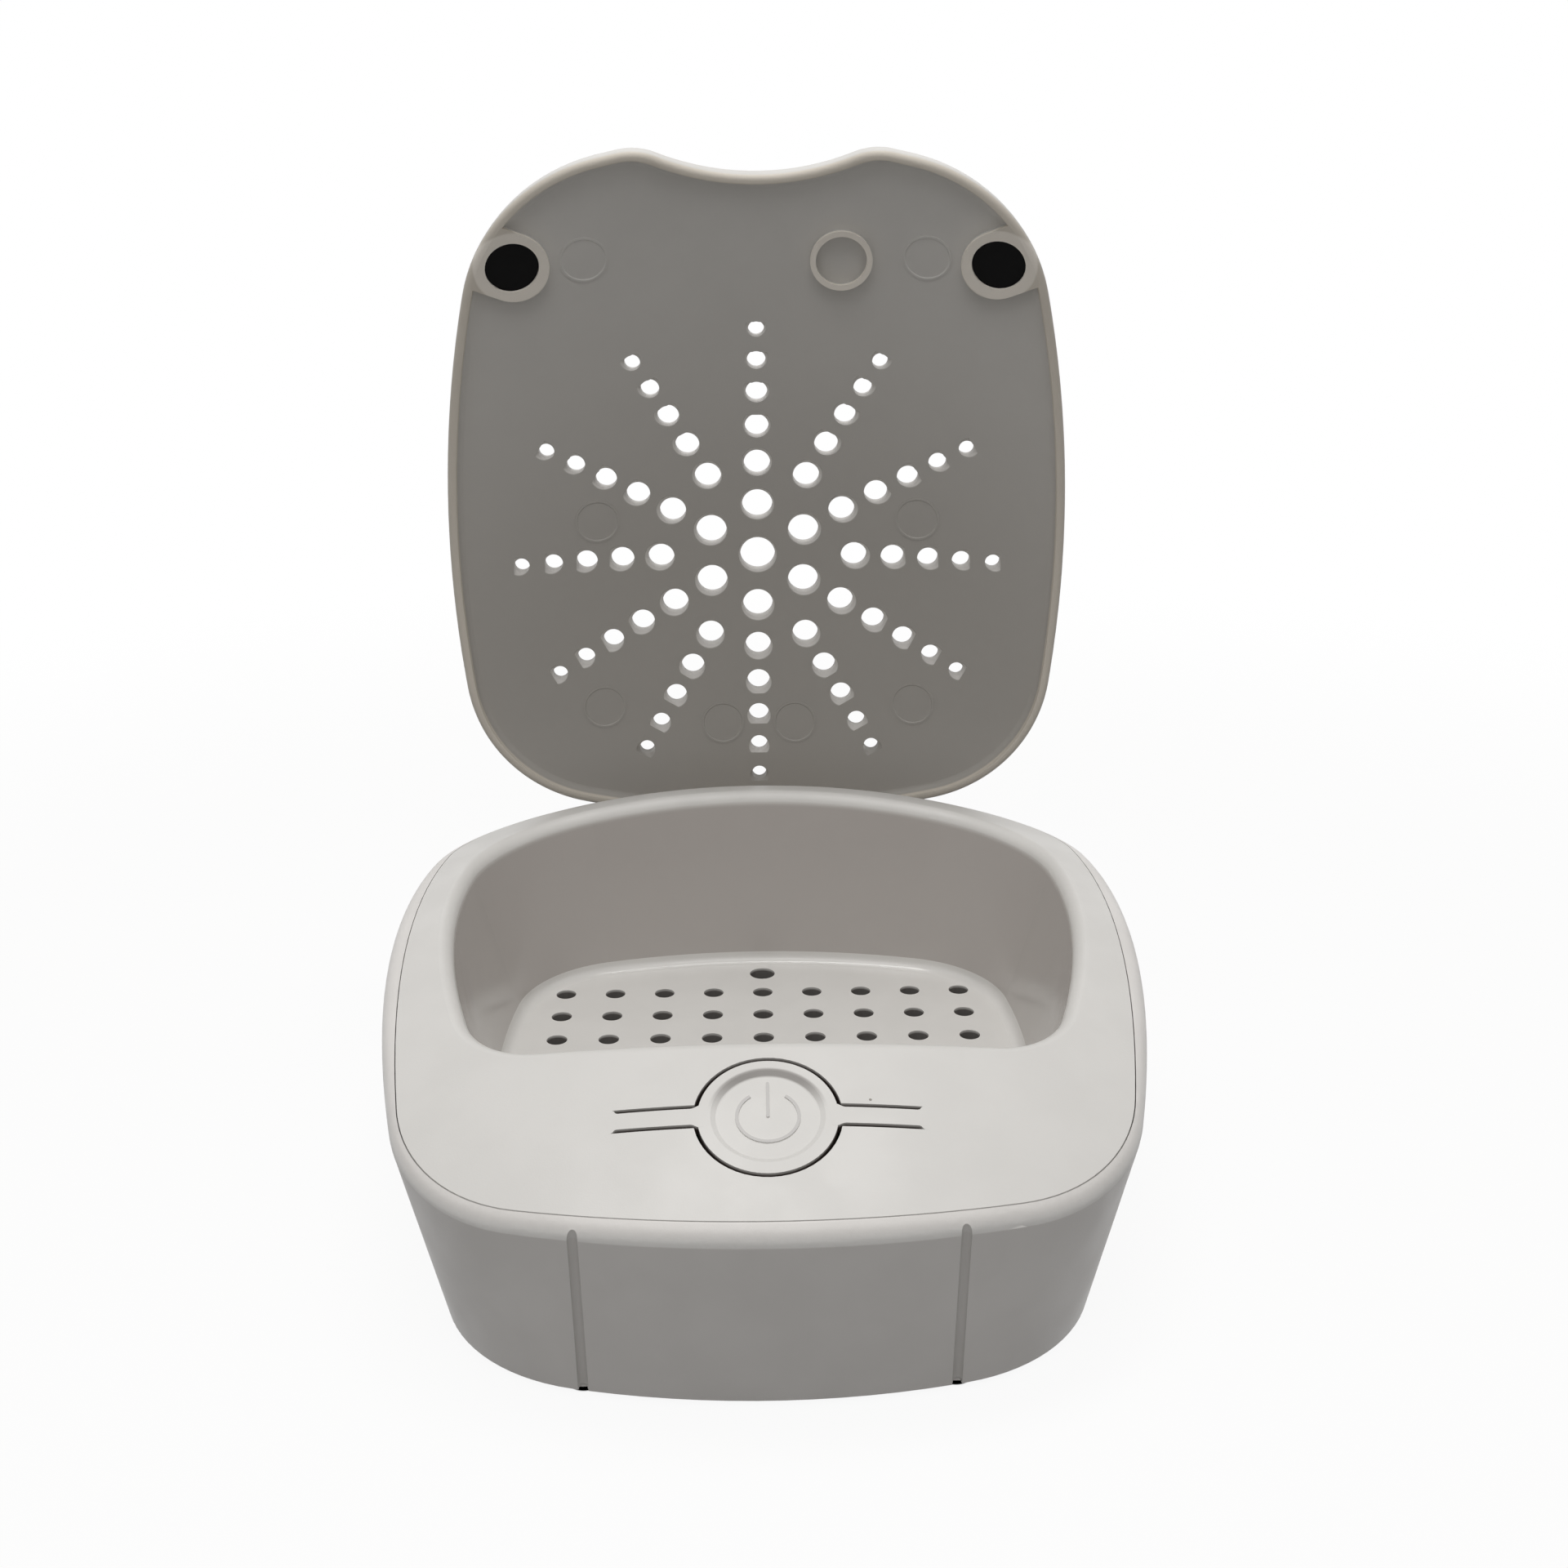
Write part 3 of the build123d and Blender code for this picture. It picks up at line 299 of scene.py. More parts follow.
def makeBrushGroup():
    # fine drawn lines along one axis, for rolled and turned metal
    group, entry, leave = newGroup(
        "drawnLines",
        [("Place", "NodeSocketVector", None), ("Stretch", "NodeSocketVector", (1, 1, 1))],
        [("Height", "NodeSocketFloat"), ("Streak", "NodeSocketFloat")],
    )
    stretched = group.nodes.new("ShaderNodeVectorMath")
    stretched.operation = "MULTIPLY"
    group.links.new(entry.outputs["Place"], stretched.inputs[0])
    group.links.new(entry.outputs["Stretch"], stretched.inputs[1])
    lines = noiseNode(group, stretched.outputs["Vector"], 1.0, 4.0, 0.7)
    group.links.new(lines, leave.inputs["Height"])
    group.links.new(rampNode(group, lines, *streakRange), leave.inputs["Streak"])
    return group


grainGroup = makeGrainGroup()
speckGroup = makeSpeckGroup()
shellGroup = makeShellGroup()
axisGroup = makeAxisGroup()
brushGroup = makeBrushGroup()


# ---- finishes ----
def placeGroup(tree, group, links, values=None):
    node = tree.nodes.new("ShaderNodeGroup")
    node.node_tree = group
    for label, socket in links.items():
        tree.links.new(socket, node.inputs[label])
    for label, value in (values or {}).items():
        node.inputs[label].default_value = value
    return node.outputs


def newMaterial(name):
    material = bpy.data.materials.new(name)
    material.use_nodes = True
    shader = material.node_tree.nodes["Principled BSDF"]
    place = material.node_tree.nodes.new("ShaderNodeTexCoord").outputs["Object"]
    return material, shader, place


def addBump(tree, shader, height, depth):
    bump = tree.nodes.new("ShaderNodeBump")
    bump.inputs["Strength"].default_value = 1.0
    bump.inputs["Distance"].default_value = depth
    tree.links.new(height, bump.inputs["Height"])
    tree.links.new(bump.outputs["Normal"], shader.inputs["Normal"])


def beyondBall(tree, place, centre, near, far):
    # 0 within a ball and 1 beyond it, with a soft step between two radii
    return placeGroup(
        tree, shellGroup, {"Place": place}, {"Centre": tuple(centre), "Near": near, "Far": far}
    )["Mask"]


def lessOf(tree, mask):
    return mathNode(tree, "SUBTRACT", 1.0, mask)


def buttonAxis(tree, place):
    return placeGroup(
        tree, axisGroup, {"Place": place}, {"Spot": tuple(buttonSpot), "Along": tuple(-pressInto)}
    )


def splitNode(tree, vector):
    parts = tree.nodes.new("ShaderNodeSeparateXYZ")
    tree.links.new(vector, parts.inputs["Vector"])
    return parts.outputs


def ballMask(tree, place, region):
    # what lies within some balls and beyond others
    masks = [lessOf(tree, beyondBall(tree, place, *ball)) for ball in region["within"]]
    masks += [beyondBall(tree, place, *ball) for ball in region.get("beyond", [])]
    mask = masks[0]
    for other in masks[1:]:
        mask = mathNode(tree, "MULTIPLY", mask, other)
    return mask


def slotShadeMask(tree, place, region):
    # painted shade on the walls of the slots round the button, below the crown
    axis = buttonAxis(tree, place)
    deep = crown["radius"] - region["deep"]
    shallow = crown["radius"] - region["shallow"]
    mask = lessOf(tree, beyondBall(tree, place, crown["centre"], deep, shallow))
    if "outside" in region:
        outer = rampNode(tree, axis["Radius"], region["outside"] - region["edge"], region["outside"])
        mask = mathNode(tree, "MULTIPLY", mask, outer)
    if "reach" in region:
        parts = splitNode(tree, axis["Offset"])
        for label, reach in zip("XY", region["reach"]):
            far = rampNode(
                tree, mathNode(tree, "ABSOLUTE", parts[label]), reach, reach + 2 * region["edge"]
            )
            mask = mathNode(tree, "MULTIPLY", mask, lessOf(tree, far))
    return mask


def symbolShadeMask(tree, place, region):
    # the raised power symbol, above the floor of the button's dish, tinted grey as painted shade
    axis = buttonAxis(tree, place)
    above = rampNode(tree, axis["Height"], region["low"], region["high"])
    near = mathNode(tree, "LESS_THAN", axis["Radius"], region["reach"])
    return mathNode(tree, "MULTIPLY", above, near)


def crescentMask(tree, place, region):
    # the shaded upper side of the dish's rim
    axis = buttonAxis(tree, place)
    upper = rampNode(tree, splitNode(tree, axis["Offset"])["Y"], region["from"], region["to"])
    inner = rampNode(tree, axis["Radius"], region["inner"], region["inner"] + region["edge"])
    outer = rampNode(tree, axis["Radius"], region["outer"] - region["edge"], region["outer"])
    band = mathNode(tree, "MULTIPLY", inner, lessOf(tree, outer))
    return mathNode(tree, "MULTIPLY", band, upper)


def belowMask(tree, place, region):
    # what lies lower than a level
    return rampNode(tree, splitNode(tree, place)["Z"], region["low"], region["high"], 1.0, 0.0)


def grooveShadeMask(tree, place, region):
    # painted shade inside the two grooves down the front wall
    masks = []
    for side in (1, -1):
        spot = (side * region["spot"][0], *region["spot"][1:])
        axis = placeGroup(tree, axisGroup, {"Place": place}, {"Spot": spot, "Along": region["along"]})
        masks.append(rampNode(tree, axis["Radius"], region["near"], region["far"], 1.0, 0.0))
    return mathNode(tree, "MAXIMUM", *masks)


maskOf = {
    "balls": ballMask,
    "slot": slotShadeMask,
    "symbol": symbolShadeMask,
    "crescent": crescentMask,
    "below": belowMask,
    "groove": grooveShadeMask,
}
speckLook = {"density": 110.0, "size": 0.016, "colour": (0.3, 0.28, 0.25)}


def mouldedPlastic(name, look):
    # satin plastic: grain, slow mottling, and where asked glossier or tinted regions, most of them
    # painted light and shade
    material, shader, place = newMaterial(name)
    tree = material.node_tree
    grain = placeGroup(
        tree,
        grainGroup,
        {"Place": place},
        {"Fineness": look["fineness"], "Unevenness": look["unevenness"]},
    )
    colour = mixColour(tree, grain["Mottle"], look["colour"], look["shade"])
    rough = rampNode(tree, grain["Mottle"], 0.0, 1.0, look["roughness"][0], look["roughness"][1])
    for region in look.get("regions", []):
        mask = maskOf[region["kind"]](tree, place, region)
        colour = mixColour(tree, mask, colour, region["colour"])
        if "roughness" in region:
            gloss = mathNode(tree, "MULTIPLY", mask, region["roughness"] - look["roughness"][0])
            rough = mathNode(tree, "ADD", rough, gloss)
    if look.get("specks"):
        specks = placeGroup(
            tree,
            speckGroup,
            {"Place": place},
            {"Density": speckLook["density"], "Share": look["specks"], "Size": speckLook["size"]},
        )["Mask"]
        colour = mixColour(tree, specks, colour, speckLook["colour"])
    tree.links.new(colour, shader.inputs["Base Color"])
    tree.links.new(rough, shader.inputs["Roughness"])
    shader.inputs["Specular IOR Level"].default_value = look["specular"]
    addBump(tree, shader, grain["Height"], look["grainDepth"])
    return material


def metal(name, look):
    material, shader, place = newMaterial(name)
    tree = material.node_tree
    lines = placeGroup(tree, brushGroup, {"Place": place}, {"Stretch": look["stretch"]})
    colour = mixColour(tree, lines["Streak"], look["colour"], look["shade"])
    tree.links.new(colour, shader.inputs["Base Color"])
    rough = rampNode(tree, lines["Streak"], 0.0, 1.0, look["roughness"][0], look["roughness"][1])
    tree.links.new(rough, shader.inputs["Roughness"])
    shader.inputs["Metallic"].default_value = look["metallic"]
    addBump(tree, shader, lines["Height"], look["lineDepth"])
    return material


white = {
    "colour": (0.77, 0.76, 0.735),
    "shade": (0.745, 0.735, 0.71),
    "roughness": (0.4, 0.46),
    "fineness": 6500.0,
    "unevenness": 140.0,
    "grainDepth": 0.012 * mm,
    "specular": 0.45,
    "specks": 0.03,
}
bowlGlossAndShade = {
    # the bowl, below the rounding of its edge: glossier, and darker by painted shade
    "kind": "balls",
    "within": [(crown["centre"], crown["radius"] - 2.0 * mm, crown["radius"] - 1.1 * mm)],
    "colour": (0.51, 0.482, 0.458),
    "roughness": 0.14,
}
lidInward = (lidCentre, lidInside - 0.6 * mm, lidInside - 0.3 * mm)
lipPaintedLight = {
    # painted light: a creamier tone on what stands inwards from the lid's plate, laid over the lid's
    # painted shade
    "kind": "balls",
    "within": [lidInward],
    "colour": (0.72, 0.67, 0.59),
}
lidPaintedShade = {
    # painted shade: the lid grows darker towards its hinge
    "kind": "balls",
    "within": [(hingePlace, 35 * mm, 100 * mm)],
    "colour": (0.42, 0.403, 0.375),
}
holeWalls = {
    # the walls of the lid's air holes, between the two faces of its plate
    "kind": "balls",
    "within": [
        (lidCentre, lidInside + lidThickness - 0.15 * mm, lidInside + lidThickness - 0.02 * mm),
        (lidSwing @ crownSpot(0, 3.0, 1.8), 35 * mm, 36 * mm),
    ],
    "beyond": [(lidCentre, lidInside, lidInside + 0.12 * mm)],
    "colour": (0.74, 0.72, 0.69),
}
bossPlaces = [(27.7, -30.0, 4.3), (-27.7, -30.0, 4.3), (9.9, -30.0, 3.8)]    # X, Y and radius in mm
bossRimHighlights = [
    # painted highlight: a paler colour on the rims of the two magnet bosses and of the empty ring
    {
        "kind": "balls",
        "within": [
            lidInward,
            (lidSwing @ crownSpot(x, y, 0.6), radius * mm, (radius + 0.3) * mm),
        ],
        "colour": (0.95, 0.9, 0.82),
    }
    for x, y, radius in bossPlaces
]
rimHighlightBand = {
    # painted highlight: a lighter colour on the lower part of the tub's rounded rim, which ends in a
    # crisp edge
    "kind": "balls",
    "within": [(crown["centre"], crown["radius"] - 0.8 * mm, crown["radius"] - 0.2 * mm)],
    "beyond": [(crown["centre"], crown["radius"] - 1.3 * mm, crown["radius"] - 1.15 * mm)],
    "colour": (0.93, 0.92, 0.895),
}
# painted shade: a darker colour inside the two grooves down the front wall
frontGrooveShade = {
    "kind": "groove",
    "spot": (17.0 * mm, -40.05 * mm, 0.0),
    "along": tuple(Vector((0, -4.8, 25)).normalized()),
    "near": 0.46 * mm,
    "far": 0.55 * mm,
    "colour": (0.58, 0.565, 0.54),
}
# painted shade: the tray is darker below its top face, down inside its holes
trayHoleShade = {"kind": "below", "low": 7.8 * mm, "high": 8.1 * mm, "colour": (0.2, 0.19, 0.18)}
# painted shade: near-black brown on the slot walls round the button
slotShade = {
    "kind": "slot",
    "deep": 0.5 * mm,
    "shallow": 0.05 * mm,
    "edge": 0.1 * mm,
    "colour": (0.095, 0.07, 0.062),
}
# painted shade: the raised power symbol is tinted grey
symbolShade = {
    "kind": "symbol",
    "low": -0.31 * mm,
    "high": -0.26 * mm,
    "reach": 4.4 * mm,
    "colour": (0.6, 0.59, 0.575),
}
# painted shade on the upper side of the dish's rim
crescentShade = {
    "kind": "crescent",
    "inner": 4.45 * mm,
    "outer": 5.6 * mm,
    "from": 0.2 * mm,
    "to": 4.2 * mm,
    "edge": 0.35 * mm,
    "colour": (0.33, 0.315, 0.3),
}
finishes = {
    "tubPlastic": mouldedPlastic(
        "tubPlastic",
        dict(
            white,
            # lighter than the other white parts: painted light on the tub's walls
            colour=(0.82, 0.8, 0.775),
            shade=(0.795, 0.775, 0.75),
            regions=[rimHighlightBand, frontGrooveShade],
        ),
    ),
    "coverPlastic": mouldedPlastic(
        "coverPlastic",
        dict(white, regions=[bowlGlossAndShade, dict(slotShade, reach=(14.8 * mm, 7.3 * mm))]),
    ),
    "lidPlastic": mouldedPlastic(
        "lidPlastic",
        dict(
            white,
            grainDepth=0.02 * mm,
            roughness=(0.48, 0.54),
            regions=[lidPaintedShade, lipPaintedLight, *bossRimHighlights, holeWalls],
        ),
    ),
    "buttonPlastic": mouldedPlastic(
        "buttonPlastic",
        dict(
            white,
            specks=0.0,
            regions=[dict(slotShade, outside=6.2 * mm), crescentShade, symbolShade],
        ),
    ),
    "trayPlastic": mouldedPlastic(
        "trayPlastic",
        dict(
            white,
            roughness=(0.1, 0.14),
            fineness=900.0,
            grainDepth=0.004 * mm,
            specks=0.02,
            specular=0.5,
            regions=[trayHoleShade],
        ),
    ),
    # painted highlight: the pale line round each ejector mark
    "markHighlight": mouldedPlastic(
        "markHighlight", dict(white, colour=(0.9, 0.87, 0.8), shade=(0.86, 0.83, 0.77))
    ),
    "magnetBlack": mouldedPlastic(
        "magnetBlack",
        {
            "colour": (0.0015, 0.0015, 0.0017),
            "shade": (0.003, 0.003, 0.003),
            "roughness": (0.55, 0.66),
            "fineness": 5200.0,
            "unevenness": 900.0,
            "grainDepth": 0.01 * mm,
            "specular": 0.1,
            "specks": 0.05,
        },
    ),
    "blackPlastic": mouldedPlastic(
        "blackPlastic",
        {
            "colour": (0.018, 0.018, 0.019),
            "shade": (0.03, 0.03, 0.03),
            "roughness": (0.42, 0.55),
            "fineness": 5000.0,
            "unevenness": 700.0,
            "grainDepth": 0.01 * mm,
            "specular": 0.4,
        },
    ),
    "boardGreen": mouldedPlastic(
        "boardGreen",
        {
            "colour": (0.012, 0.12, 0.045),
            "shade": (0.02, 0.17, 0.07),
            "roughness": (0.24, 0.36),
            "fineness": 3800.0,
            "unevenness": 800.0,
            "grainDepth": 0.006 * mm,
            "specular": 0.5,
        },
    ),
    "siliconePad": mouldedPlastic(
        "siliconePad",
        {
            "colour": (0.5, 0.16, 0.045),
            "shade": (0.42, 0.12, 0.035),
            "roughness": (0.55, 0.68),
            "fineness": 2600.0,
            "unevenness": 500.0,
            "grainDepth": 0.02 * mm,
            "specular": 0.35,
        },
    ),
    "leadSleeve": mouldedPlastic(
        "leadSleeve",
        {
            "colour": (0.36, 0.018, 0.015),
            "shade": (0.28, 0.012, 0.01),
            "roughness": (0.35, 0.5),
            "fineness": 3000.0,
            "unevenness": 600.0,
            "grainDepth": 0.008 * mm,
            "specular": 0.4,
        },
    ),
    "footRubber": mouldedPlastic(
        "footRubber",
        {
            "colour": (0.045, 0.045, 0.045),
            "shade": (0.065, 0.063, 0.06),
            "roughness": (0.7, 0.85),
            "fineness": 4200.0,
            "unevenness": 400.0,
            "grainDepth": 0.02 * mm,
            "specular": 0.25,
            "specks": 0.15,
        },
    ),
    "clearResin": mouldedPlastic(
        "clearResin",
        {
            "colour": (0.72, 0.8, 0.76),
            "shade": (0.66, 0.76, 0.72),
            "roughness": (0.08, 0.14),
            "fineness": 1500.0,
            "unevenness": 400.0,
            "grainDepth": 0.002 * mm,
            "specular": 0.55,
        },
    ),
    "platedSteel": metal(
        "platedSteel",
        {
            "colour": (0.58, 0.58, 0.59),
            "shade": (0.47, 0.47, 0.48),
            "roughness": (0.22, 0.36),
            "stretch": (700.0, 4200.0, 4200.0),
            "metallic": 1.0,
            "lineDepth": 0.003 * mm,
        },
    ),
    "rolledAluminium": metal(
        "rolledAluminium",
        {
            "colour": (0.74, 0.74, 0.75),
            "shade": (0.62, 0.62, 0.64),
            "roughness": (0.3, 0.45),
            "stretch": (500.0, 5200.0, 2000.0),
            "metallic": 1.0,
            "lineDepth": 0.004 * mm,
        },
    ),
    "tinnedCan": metal(
        "tinnedCan",
        {
            "colour": (0.68, 0.67, 0.64),
            "shade": (0.55, 0.54, 0.52),
            "roughness": (0.25, 0.4),
            "stretch": (3500.0, 900.0, 3500.0),
            "metallic": 1.0,
            "lineDepth": 0.003 * mm,
        },
    ),
    "goldContact": metal(
        "goldContact",
        {
            "colour": (0.83, 0.58, 0.2),
            "shade": (0.72, 0.47, 0.15),
            "roughness": (0.2, 0.32),
            "stretch": (4500.0, 900.0, 4500.0),
            "metallic": 1.0,
            "lineDepth": 0.002 * mm,
        },
    ),
}
finishOf = {
    "tubPlastic": ["lower_housing"],
    "coverPlastic": ["top_cover"],
    "lidPlastic": ["lid"],
    "buttonPlastic": ["power_button", "button_arm_left", "button_arm_right"],
    "trayPlastic": ["drying_tray"],
    "magnetBlack": ["lid_magnet_left", "lid_magnet_right"],
    "blackPlastic": ["switch_body", "switch_plunger", "controller_chip", "socket_tongue"],
    "boardGreen": ["control_board", "socket_board"],
    "siliconePad": ["heater_element"],
    "leadSleeve": ["power_leads", "heater_leads"],
    "footRubber": ["foot_front_left", "foot_front_right", "foot_rear_left", "foot_rear_right"],
    "clearResin": ["indicator_led"],
    "platedSteel": [
        "hinge_pin",
        "keeper_left",
        "keeper_right",
        "power_socket",
        "cover_screws",
        "board_screws",
        "heater_screws",
        "socket_screws",
    ],
    "rolledAluminium": ["heater_plate", "heat_shield"],
    "tinnedCan": ["thermal_fuse"],
}
for finish, names in finishOf.items():
    for name in names:
        nodes[name].data.materials.clear()
        nodes[name].data.materials.append(finishes[finish])
left = sorted(set(nodes) - {name for names in finishOf.values() for name in names})
print("finishes made, nodes without one:", left)


# ---- modelling helpers ----
smoothAngle = math.radians(35)


def startEdit():
    bpy.ops.object.mode_set(mode="EDIT")
    mesh = bmesh.from_edit_mesh(bpy.context.object.data)
    mesh.faces.ensure_lookup_table()
    mesh.verts.ensure_lookup_table()
    return mesh


def pickFaces(test):
    # selects the faces that pass a test, in edit mode
    bpy.ops.mesh.select_all(action="DESELECT")
    bpy.ops.mesh.select_mode(type="FACE")
    mesh = bmesh.from_edit_mesh(bpy.context.object.data)
    for face in mesh.faces:
        face.select_set(bool(test(face)))
    bmesh.update_edit_mesh(bpy.context.object.data)


def addModifier(piece, kind, **values):
    bpy.ops.object.select_all(action="DESELECT")
    piece.select_set(True)
    bpy.context.view_layer.objects.active = piece
    modifier = piece.modifiers.new(kind.title(), kind)
    for key, value in values.items():
        setattr(modifier, key, value)
    bpy.ops.object.modifier_apply(modifier=modifier.name)


def settle(piece, name, finish, turn=None):
    # puts the place into the mesh, names the piece and gives it its finish
    piece.name = name
    piece.data.name = name
    if turn is not None:
        piece.data.transform(turn)
    bpy.ops.object.select_all(action="DESELECT")
    piece.select_set(True)
    bpy.context.view_layer.objects.active = piece
    bpy.ops.object.transform_apply(location=True, rotation=True, scale=True)
    bpy.ops.object.shade_smooth_by_angle(angle=smoothAngle)
    piece.data.materials.clear()
    piece.data.materials.append(finishes[finish])


def standOn(spot, outward):
    # matrix that carries a piece drawn at the origin to a spot, its Z along outward
    return Matrix.Translation(spot) @ outward.to_track_quat("Z", "Y").to_matrix().to_4x4()


# ---- ejector marks inside the lid ----
ejectorMark = {
    "sides": 64,
    "radius": 2.85 * mm,
    "line": 0.24 * mm,           # width of the painted highlight line round it
    "groove": 0.12 * mm,         # width of the slope inside that line
    "sink": 0.1 * mm,
    "rise": 0.13 * mm,
}
ejectorSpots = [(19.8, -30.4), (20.3, 3.5), (20.4, 28.8), (4.8, 31.8)]    # X and Y in mm, closed


def makeEjectorMark(name, x, y):
    look = ejectorMark
    bpy.ops.mesh.primitive_cylinder_add(
        vertices=look["sides"], radius=look["radius"], depth=2 * look["rise"]
    )
    piece = bpy.context.object
    startEdit()
    pickFaces(lambda face: face.normal.z > 0.9)
    bpy.ops.mesh.inset(thickness=look["line"], depth=0)
    bpy.ops.mesh.inset(thickness=look["groove"], depth=-look["sink"])
    bpy.ops.object.mode_set(mode="OBJECT")
    # the outer ring of faces takes the painted highlight
    inner = look["radius"] - look["line"]
    for polygon in piece.data.polygons:
        polygon.material_index = int(polygon.center.xy.length > inner)
    height = math.sqrt(lidInside**2 - (x * mm) ** 2 - (y * mm - crown["centre"].y) ** 2)
    closed = Vector((x * mm, y * mm, crown["centre"].z + height))
    outward = (crown["centre"] - closed).normalized()
    settle(piece, name, "lidPlastic", lidSwing @ standOn(closed, outward))
    piece.data.materials.append(finishes["markHighlight"])
    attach(piece, "lid")


for number, (x, y) in enumerate(ejectorSpots, 1):
    makeEjectorMark(f"ejectorMarkLeft{number}", -x, y)
    makeEjectorMark(f"ejectorMarkRight{number}", x, y)
print("ejector marks made")


# ---- the two bending arms of the button, one moulding with the cover and the button ----
armLook = {
    "root": 14.35,               # where it grows out of the cover, from the button's centre
    "slotEnd": 14.0,
    "tip": 5.75,                 # where it meets the button
    "rim": 6.34,
    "width": 1.8,
    "slot": 0.4,
    "flare": 0.3,                # how much wider it grows at the button
    "flareReach": 0.7,
    "rise": 0.006,               # over the crown
    "thickness": 1.2,
    "steps": 48,
    "stepsAcross": 4,
}


def makeFlexArm(side, name, node):
    look = armLook
    half = look["width"] / 2
    length = look["root"] - look["tip"]
    bpy.ops.mesh.primitive_grid_add(
        x_subdivisions=look["steps"], y_subdivisions=look["stepsAcross"], size=1
    )
    piece = bpy.context.object
    mesh = startEdit()
    for vertex in mesh.verts:
        along = look["tip"] + (vertex.co.x + 0.5) * length
        # rounded slot ends where the arm grows out of the cover, a soft flare at the button
        beforeEnd = min(look["slot"], max(0.0, look["slotEnd"] - along))
        closed = 1 - math.sqrt(1 - (1 - beforeEnd / look["slot"]) ** 2)
        tipNear = max(0.0, 1 - max(0.0, along - look["rim"]) / look["flareReach"])
        flare = look["slot"] * closed + look["flare"] * tipNear**2
        across = vertex.co.y * 2 * (half + flare)
        vertex.co = Vector((side * along, across, 0)) * mm
    bmesh.update_edit_mesh(piece.data)
    bpy.ops.mesh.select_all(action="SELECT")
    bpy.ops.mesh.normals_make_consistent(inside=False)
    bpy.ops.mesh.extrude_region_move(TRANSFORM_OT_translate={"value": (0, 0, -look["thickness"] * mm)})
    bpy.ops.mesh.select_all(action="SELECT")
    bpy.ops.mesh.normals_make_consistent(inside=False)
    bpy.ops.object.mode_set(mode="OBJECT")
    # the flat strip is laid on the crown
    right = Vector((1, 0, 0))
    tilt = Matrix((right, -pressInto.cross(right), -pressInto)).transposed().to_4x4()
    carry = Matrix.Translation(buttonSpot) @ tilt
    for vertex in piece.data.vertices:
        down = vertex.co.z
        spot = carry @ Vector((vertex.co.x, vertex.co.y, 0))
        outward = (spot - crown["centre"]).normalized()
        vertex.co = crown["centre"] + outward * (crown["radius"] + look["rise"] * mm + down)
    settle(piece, name, "buttonPlastic")
    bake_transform(piece)
    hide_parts(node)


makeFlexArm(-1, "flexArmLeft", "button_arm_left")
makeFlexArm(1, "flexArmRight", "button_arm_right")
print("button arms made")


# ---- contacts on the power socket's tongue ----
contactLook = {
    "count": 12,
    "pitch": 0.5,
    "width": 0.26,
    "length": 3.4,
    "rise": 0.03,
    "setback": 0.5,              # from the tongue's end
    "bevel": 0.012,
}


def makeTongueContacts():
    look = contactLook
    low, high = (Vector(corner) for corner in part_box("socket_tongue"))
    for label, top, sign in (("Upper", high.z, 1), ("Lower", low.z, -1)):
        bpy.ops.mesh.primitive_cube_add(size=1)
        piece = bpy.context.object
        piece.scale = (look["width"] * mm, look["length"] * mm, look["rise"] * mm)
        piece.location = (
            -look["pitch"] * (look["count"] - 1) / 2 * mm,
            high.y - (look["length"] / 2 + look["setback"]) * mm,
            top + sign * look["rise"] / 2 * mm,
        )
        bpy.ops.object.transform_apply(location=True, rotation=True, scale=True)
        addModifier(piece, "BEVEL", width=look["bevel"] * mm, segments=2)
        addModifier(
            piece,
            "ARRAY",
            count=look["count"],
            use_relative_offset=False,
            use_constant_offset=True,
            constant_offset_displace=(look["pitch"] * mm, 0, 0),
        )
        settle(piece, f"tongueContacts{label}", "goldContact")
        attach(piece, "base")


makeTongueContacts()
print("socket contacts made")


# ---- floor, light and background ----
floorLook = {
    "size": 3.0,
    "bounce": 0.15,
    "shown": 0.9,
    "plain": 0.92,
    "fadeFrom": 0.12,
    "fadeTo": 0.3,
    "notchShadow": (17 * mm, -37.7 * mm),    # the dark under the tub, behind a groove's notch
    "shadowNear": 1.5 * mm,
    "shadowFar": 1.7 * mm,
}
worldLook = {"colour": (1.0, 0.98, 0.965), "strength": 0.37}
lampColour = (1.0, 0.99, 0.98)
lampTarget = (0, 0, 0.02)
overheadLamp = {"size": (0.3, 0.14), "place": (-0.01, 0.02, 0.52), "power": 0.88}
frontLamp = {"size": (0.3, 0.2), "place": (-0.03, -0.27, 0.42), "power": 0.44}
plainWhite = (1, 1, 1, 1)


def seenDirectly(tree):
    # 1 for rays from the camera and for rays that a mirror or glass sends on
    rays = tree.nodes.new("ShaderNodeLightPath")
    seen = mathNode(tree, "MAXIMUM", rays.outputs["Is Camera Ray"], rays.outputs["Is Glossy Ray"])
    return mathNode(tree, "MAXIMUM", seen, rays.outputs["Is Transmission Ray"])


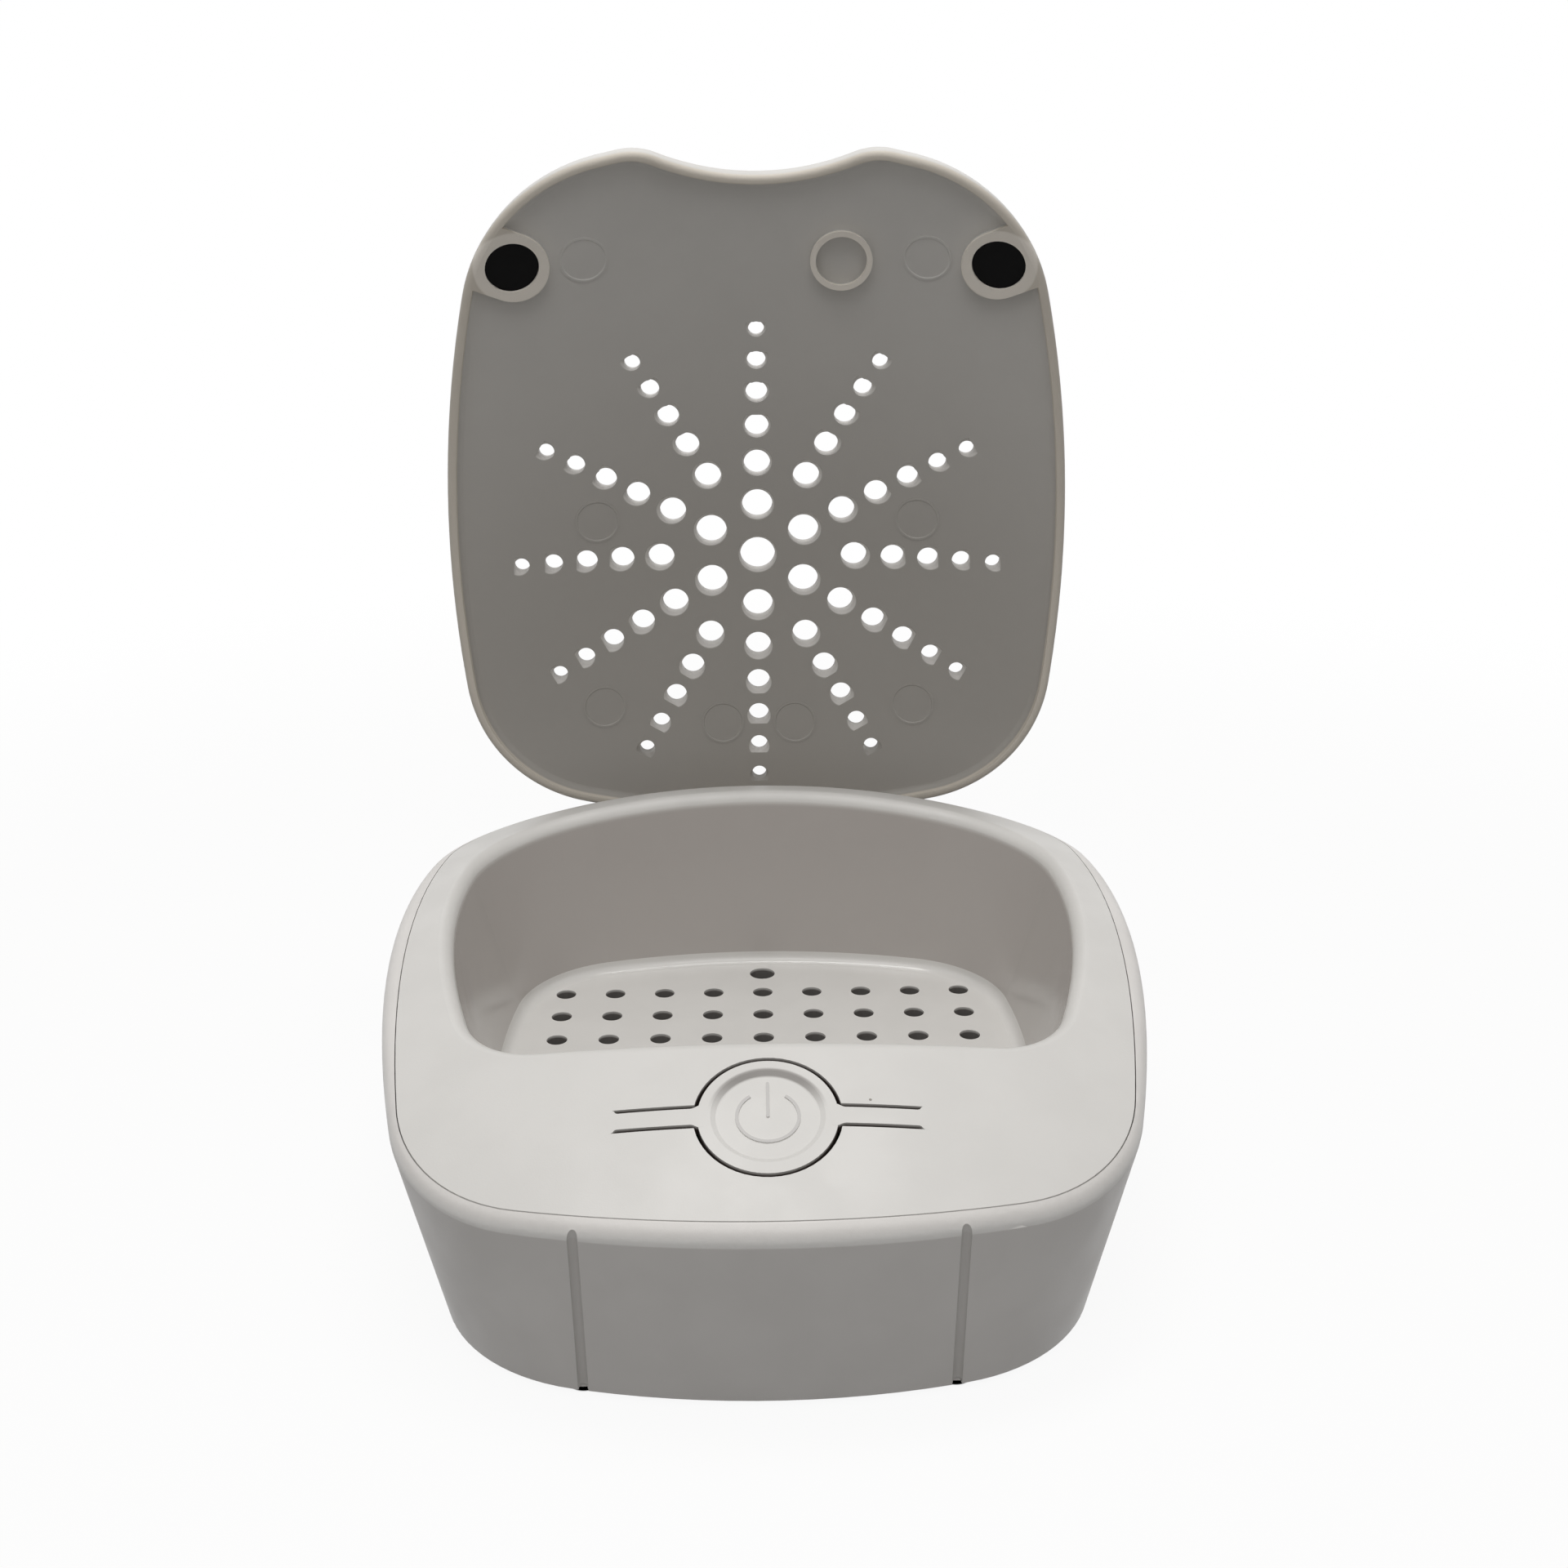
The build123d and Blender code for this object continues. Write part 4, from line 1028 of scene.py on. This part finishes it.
def makeFloor(look):
    low = cadBox[0][2]
    bpy.ops.mesh.primitive_plane_add(size=look["size"], location=(0, 0, low))
    floor = bpy.context.object
    floor.name = "floor"
    bpy.ops.object.transform_apply(location=True, rotation=True, scale=True)
    material = bpy.data.materials.new("paleFloor")
    material.use_nodes = True
    tree = material.node_tree
    tree.nodes.clear()
    output = tree.nodes.new("ShaderNodeOutputMaterial")
    bounce = tree.nodes.new("ShaderNodeBsdfDiffuse")
    bounce.inputs["Color"].default_value = (look["bounce"],) * 3 + (1,)
    shown = tree.nodes.new("ShaderNodeBsdfDiffuse")
    plain = tree.nodes.new("ShaderNodeEmission")
    plain.inputs["Color"].default_value = plainWhite
    place = tree.nodes.new("ShaderNodeTexCoord").outputs["Object"]
    far = beyondBall(tree, place, (0, 0, 0), look["fadeFrom"], look["fadeTo"])
    share = mathNode(tree, "MULTIPLY_ADD", far, 1.0 - look["plain"], look["plain"])
    colour = look["shown"]
    x, y = look["notchShadow"]
    for side in (1, -1):
        clear = beyondBall(tree, place, (side * x, y, low), look["shadowNear"], look["shadowFar"])
        share = mathNode(tree, "MULTIPLY", share, clear)
        colour = mathNode(tree, "MULTIPLY", colour, clear)
    tree.links.new(colour, shown.inputs["Color"])
    looks = tree.nodes.new("ShaderNodeMixShader")
    tree.links.new(share, looks.inputs["Fac"])
    tree.links.new(shown.outputs[0], looks.inputs[1])
    tree.links.new(plain.outputs[0], looks.inputs[2])
    both = tree.nodes.new("ShaderNodeMixShader")
    tree.links.new(seenDirectly(tree), both.inputs["Fac"])
    tree.links.new(bounce.outputs[0], both.inputs[1])
    tree.links.new(looks.outputs[0], both.inputs[2])
    tree.links.new(both.outputs[0], output.inputs["Surface"])
    floor.data.materials.append(material)


def makeWorld(look):
    world = bpy.data.worlds.new("studio")
    bpy.context.scene.world = world
    world.use_nodes = True
    tree = world.node_tree
    tree.nodes.clear()
    output = tree.nodes.new("ShaderNodeOutputWorld")
    light = tree.nodes.new("ShaderNodeBackground")
    light.inputs["Color"].default_value = (*look["colour"], 1)
    light.inputs["Strength"].default_value = look["strength"]
    plain = tree.nodes.new("ShaderNodeBackground")
    plain.inputs["Color"].default_value = plainWhite
    both = tree.nodes.new("ShaderNodeMixShader")
    tree.links.new(seenDirectly(tree), both.inputs["Fac"])
    tree.links.new(light.outputs[0], both.inputs[1])
    tree.links.new(plain.outputs[0], both.inputs[2])
    tree.links.new(both.outputs[0], output.inputs["Surface"])


def makeLamp(name, look):
    data = bpy.data.lights.new(name, "AREA")
    data.shape = "RECTANGLE"
    data.size, data.size_y = look["size"]
    data.energy = look["power"]
    data.color = lampColour
    lamp = bpy.data.objects.new(name, data)
    lamp.location = look["place"]
    towards = Vector(lampTarget) - Vector(look["place"])
    lamp.rotation_euler = towards.to_track_quat("-Z", "Y").to_euler()
    bpy.context.scene.collection.objects.link(lamp)


makeFloor(floorLook)
makeWorld(worldLook)
makeLamp("overheadLamp", overheadLamp)
makeLamp("frontLamp", frontLamp)
print("stage and light set")
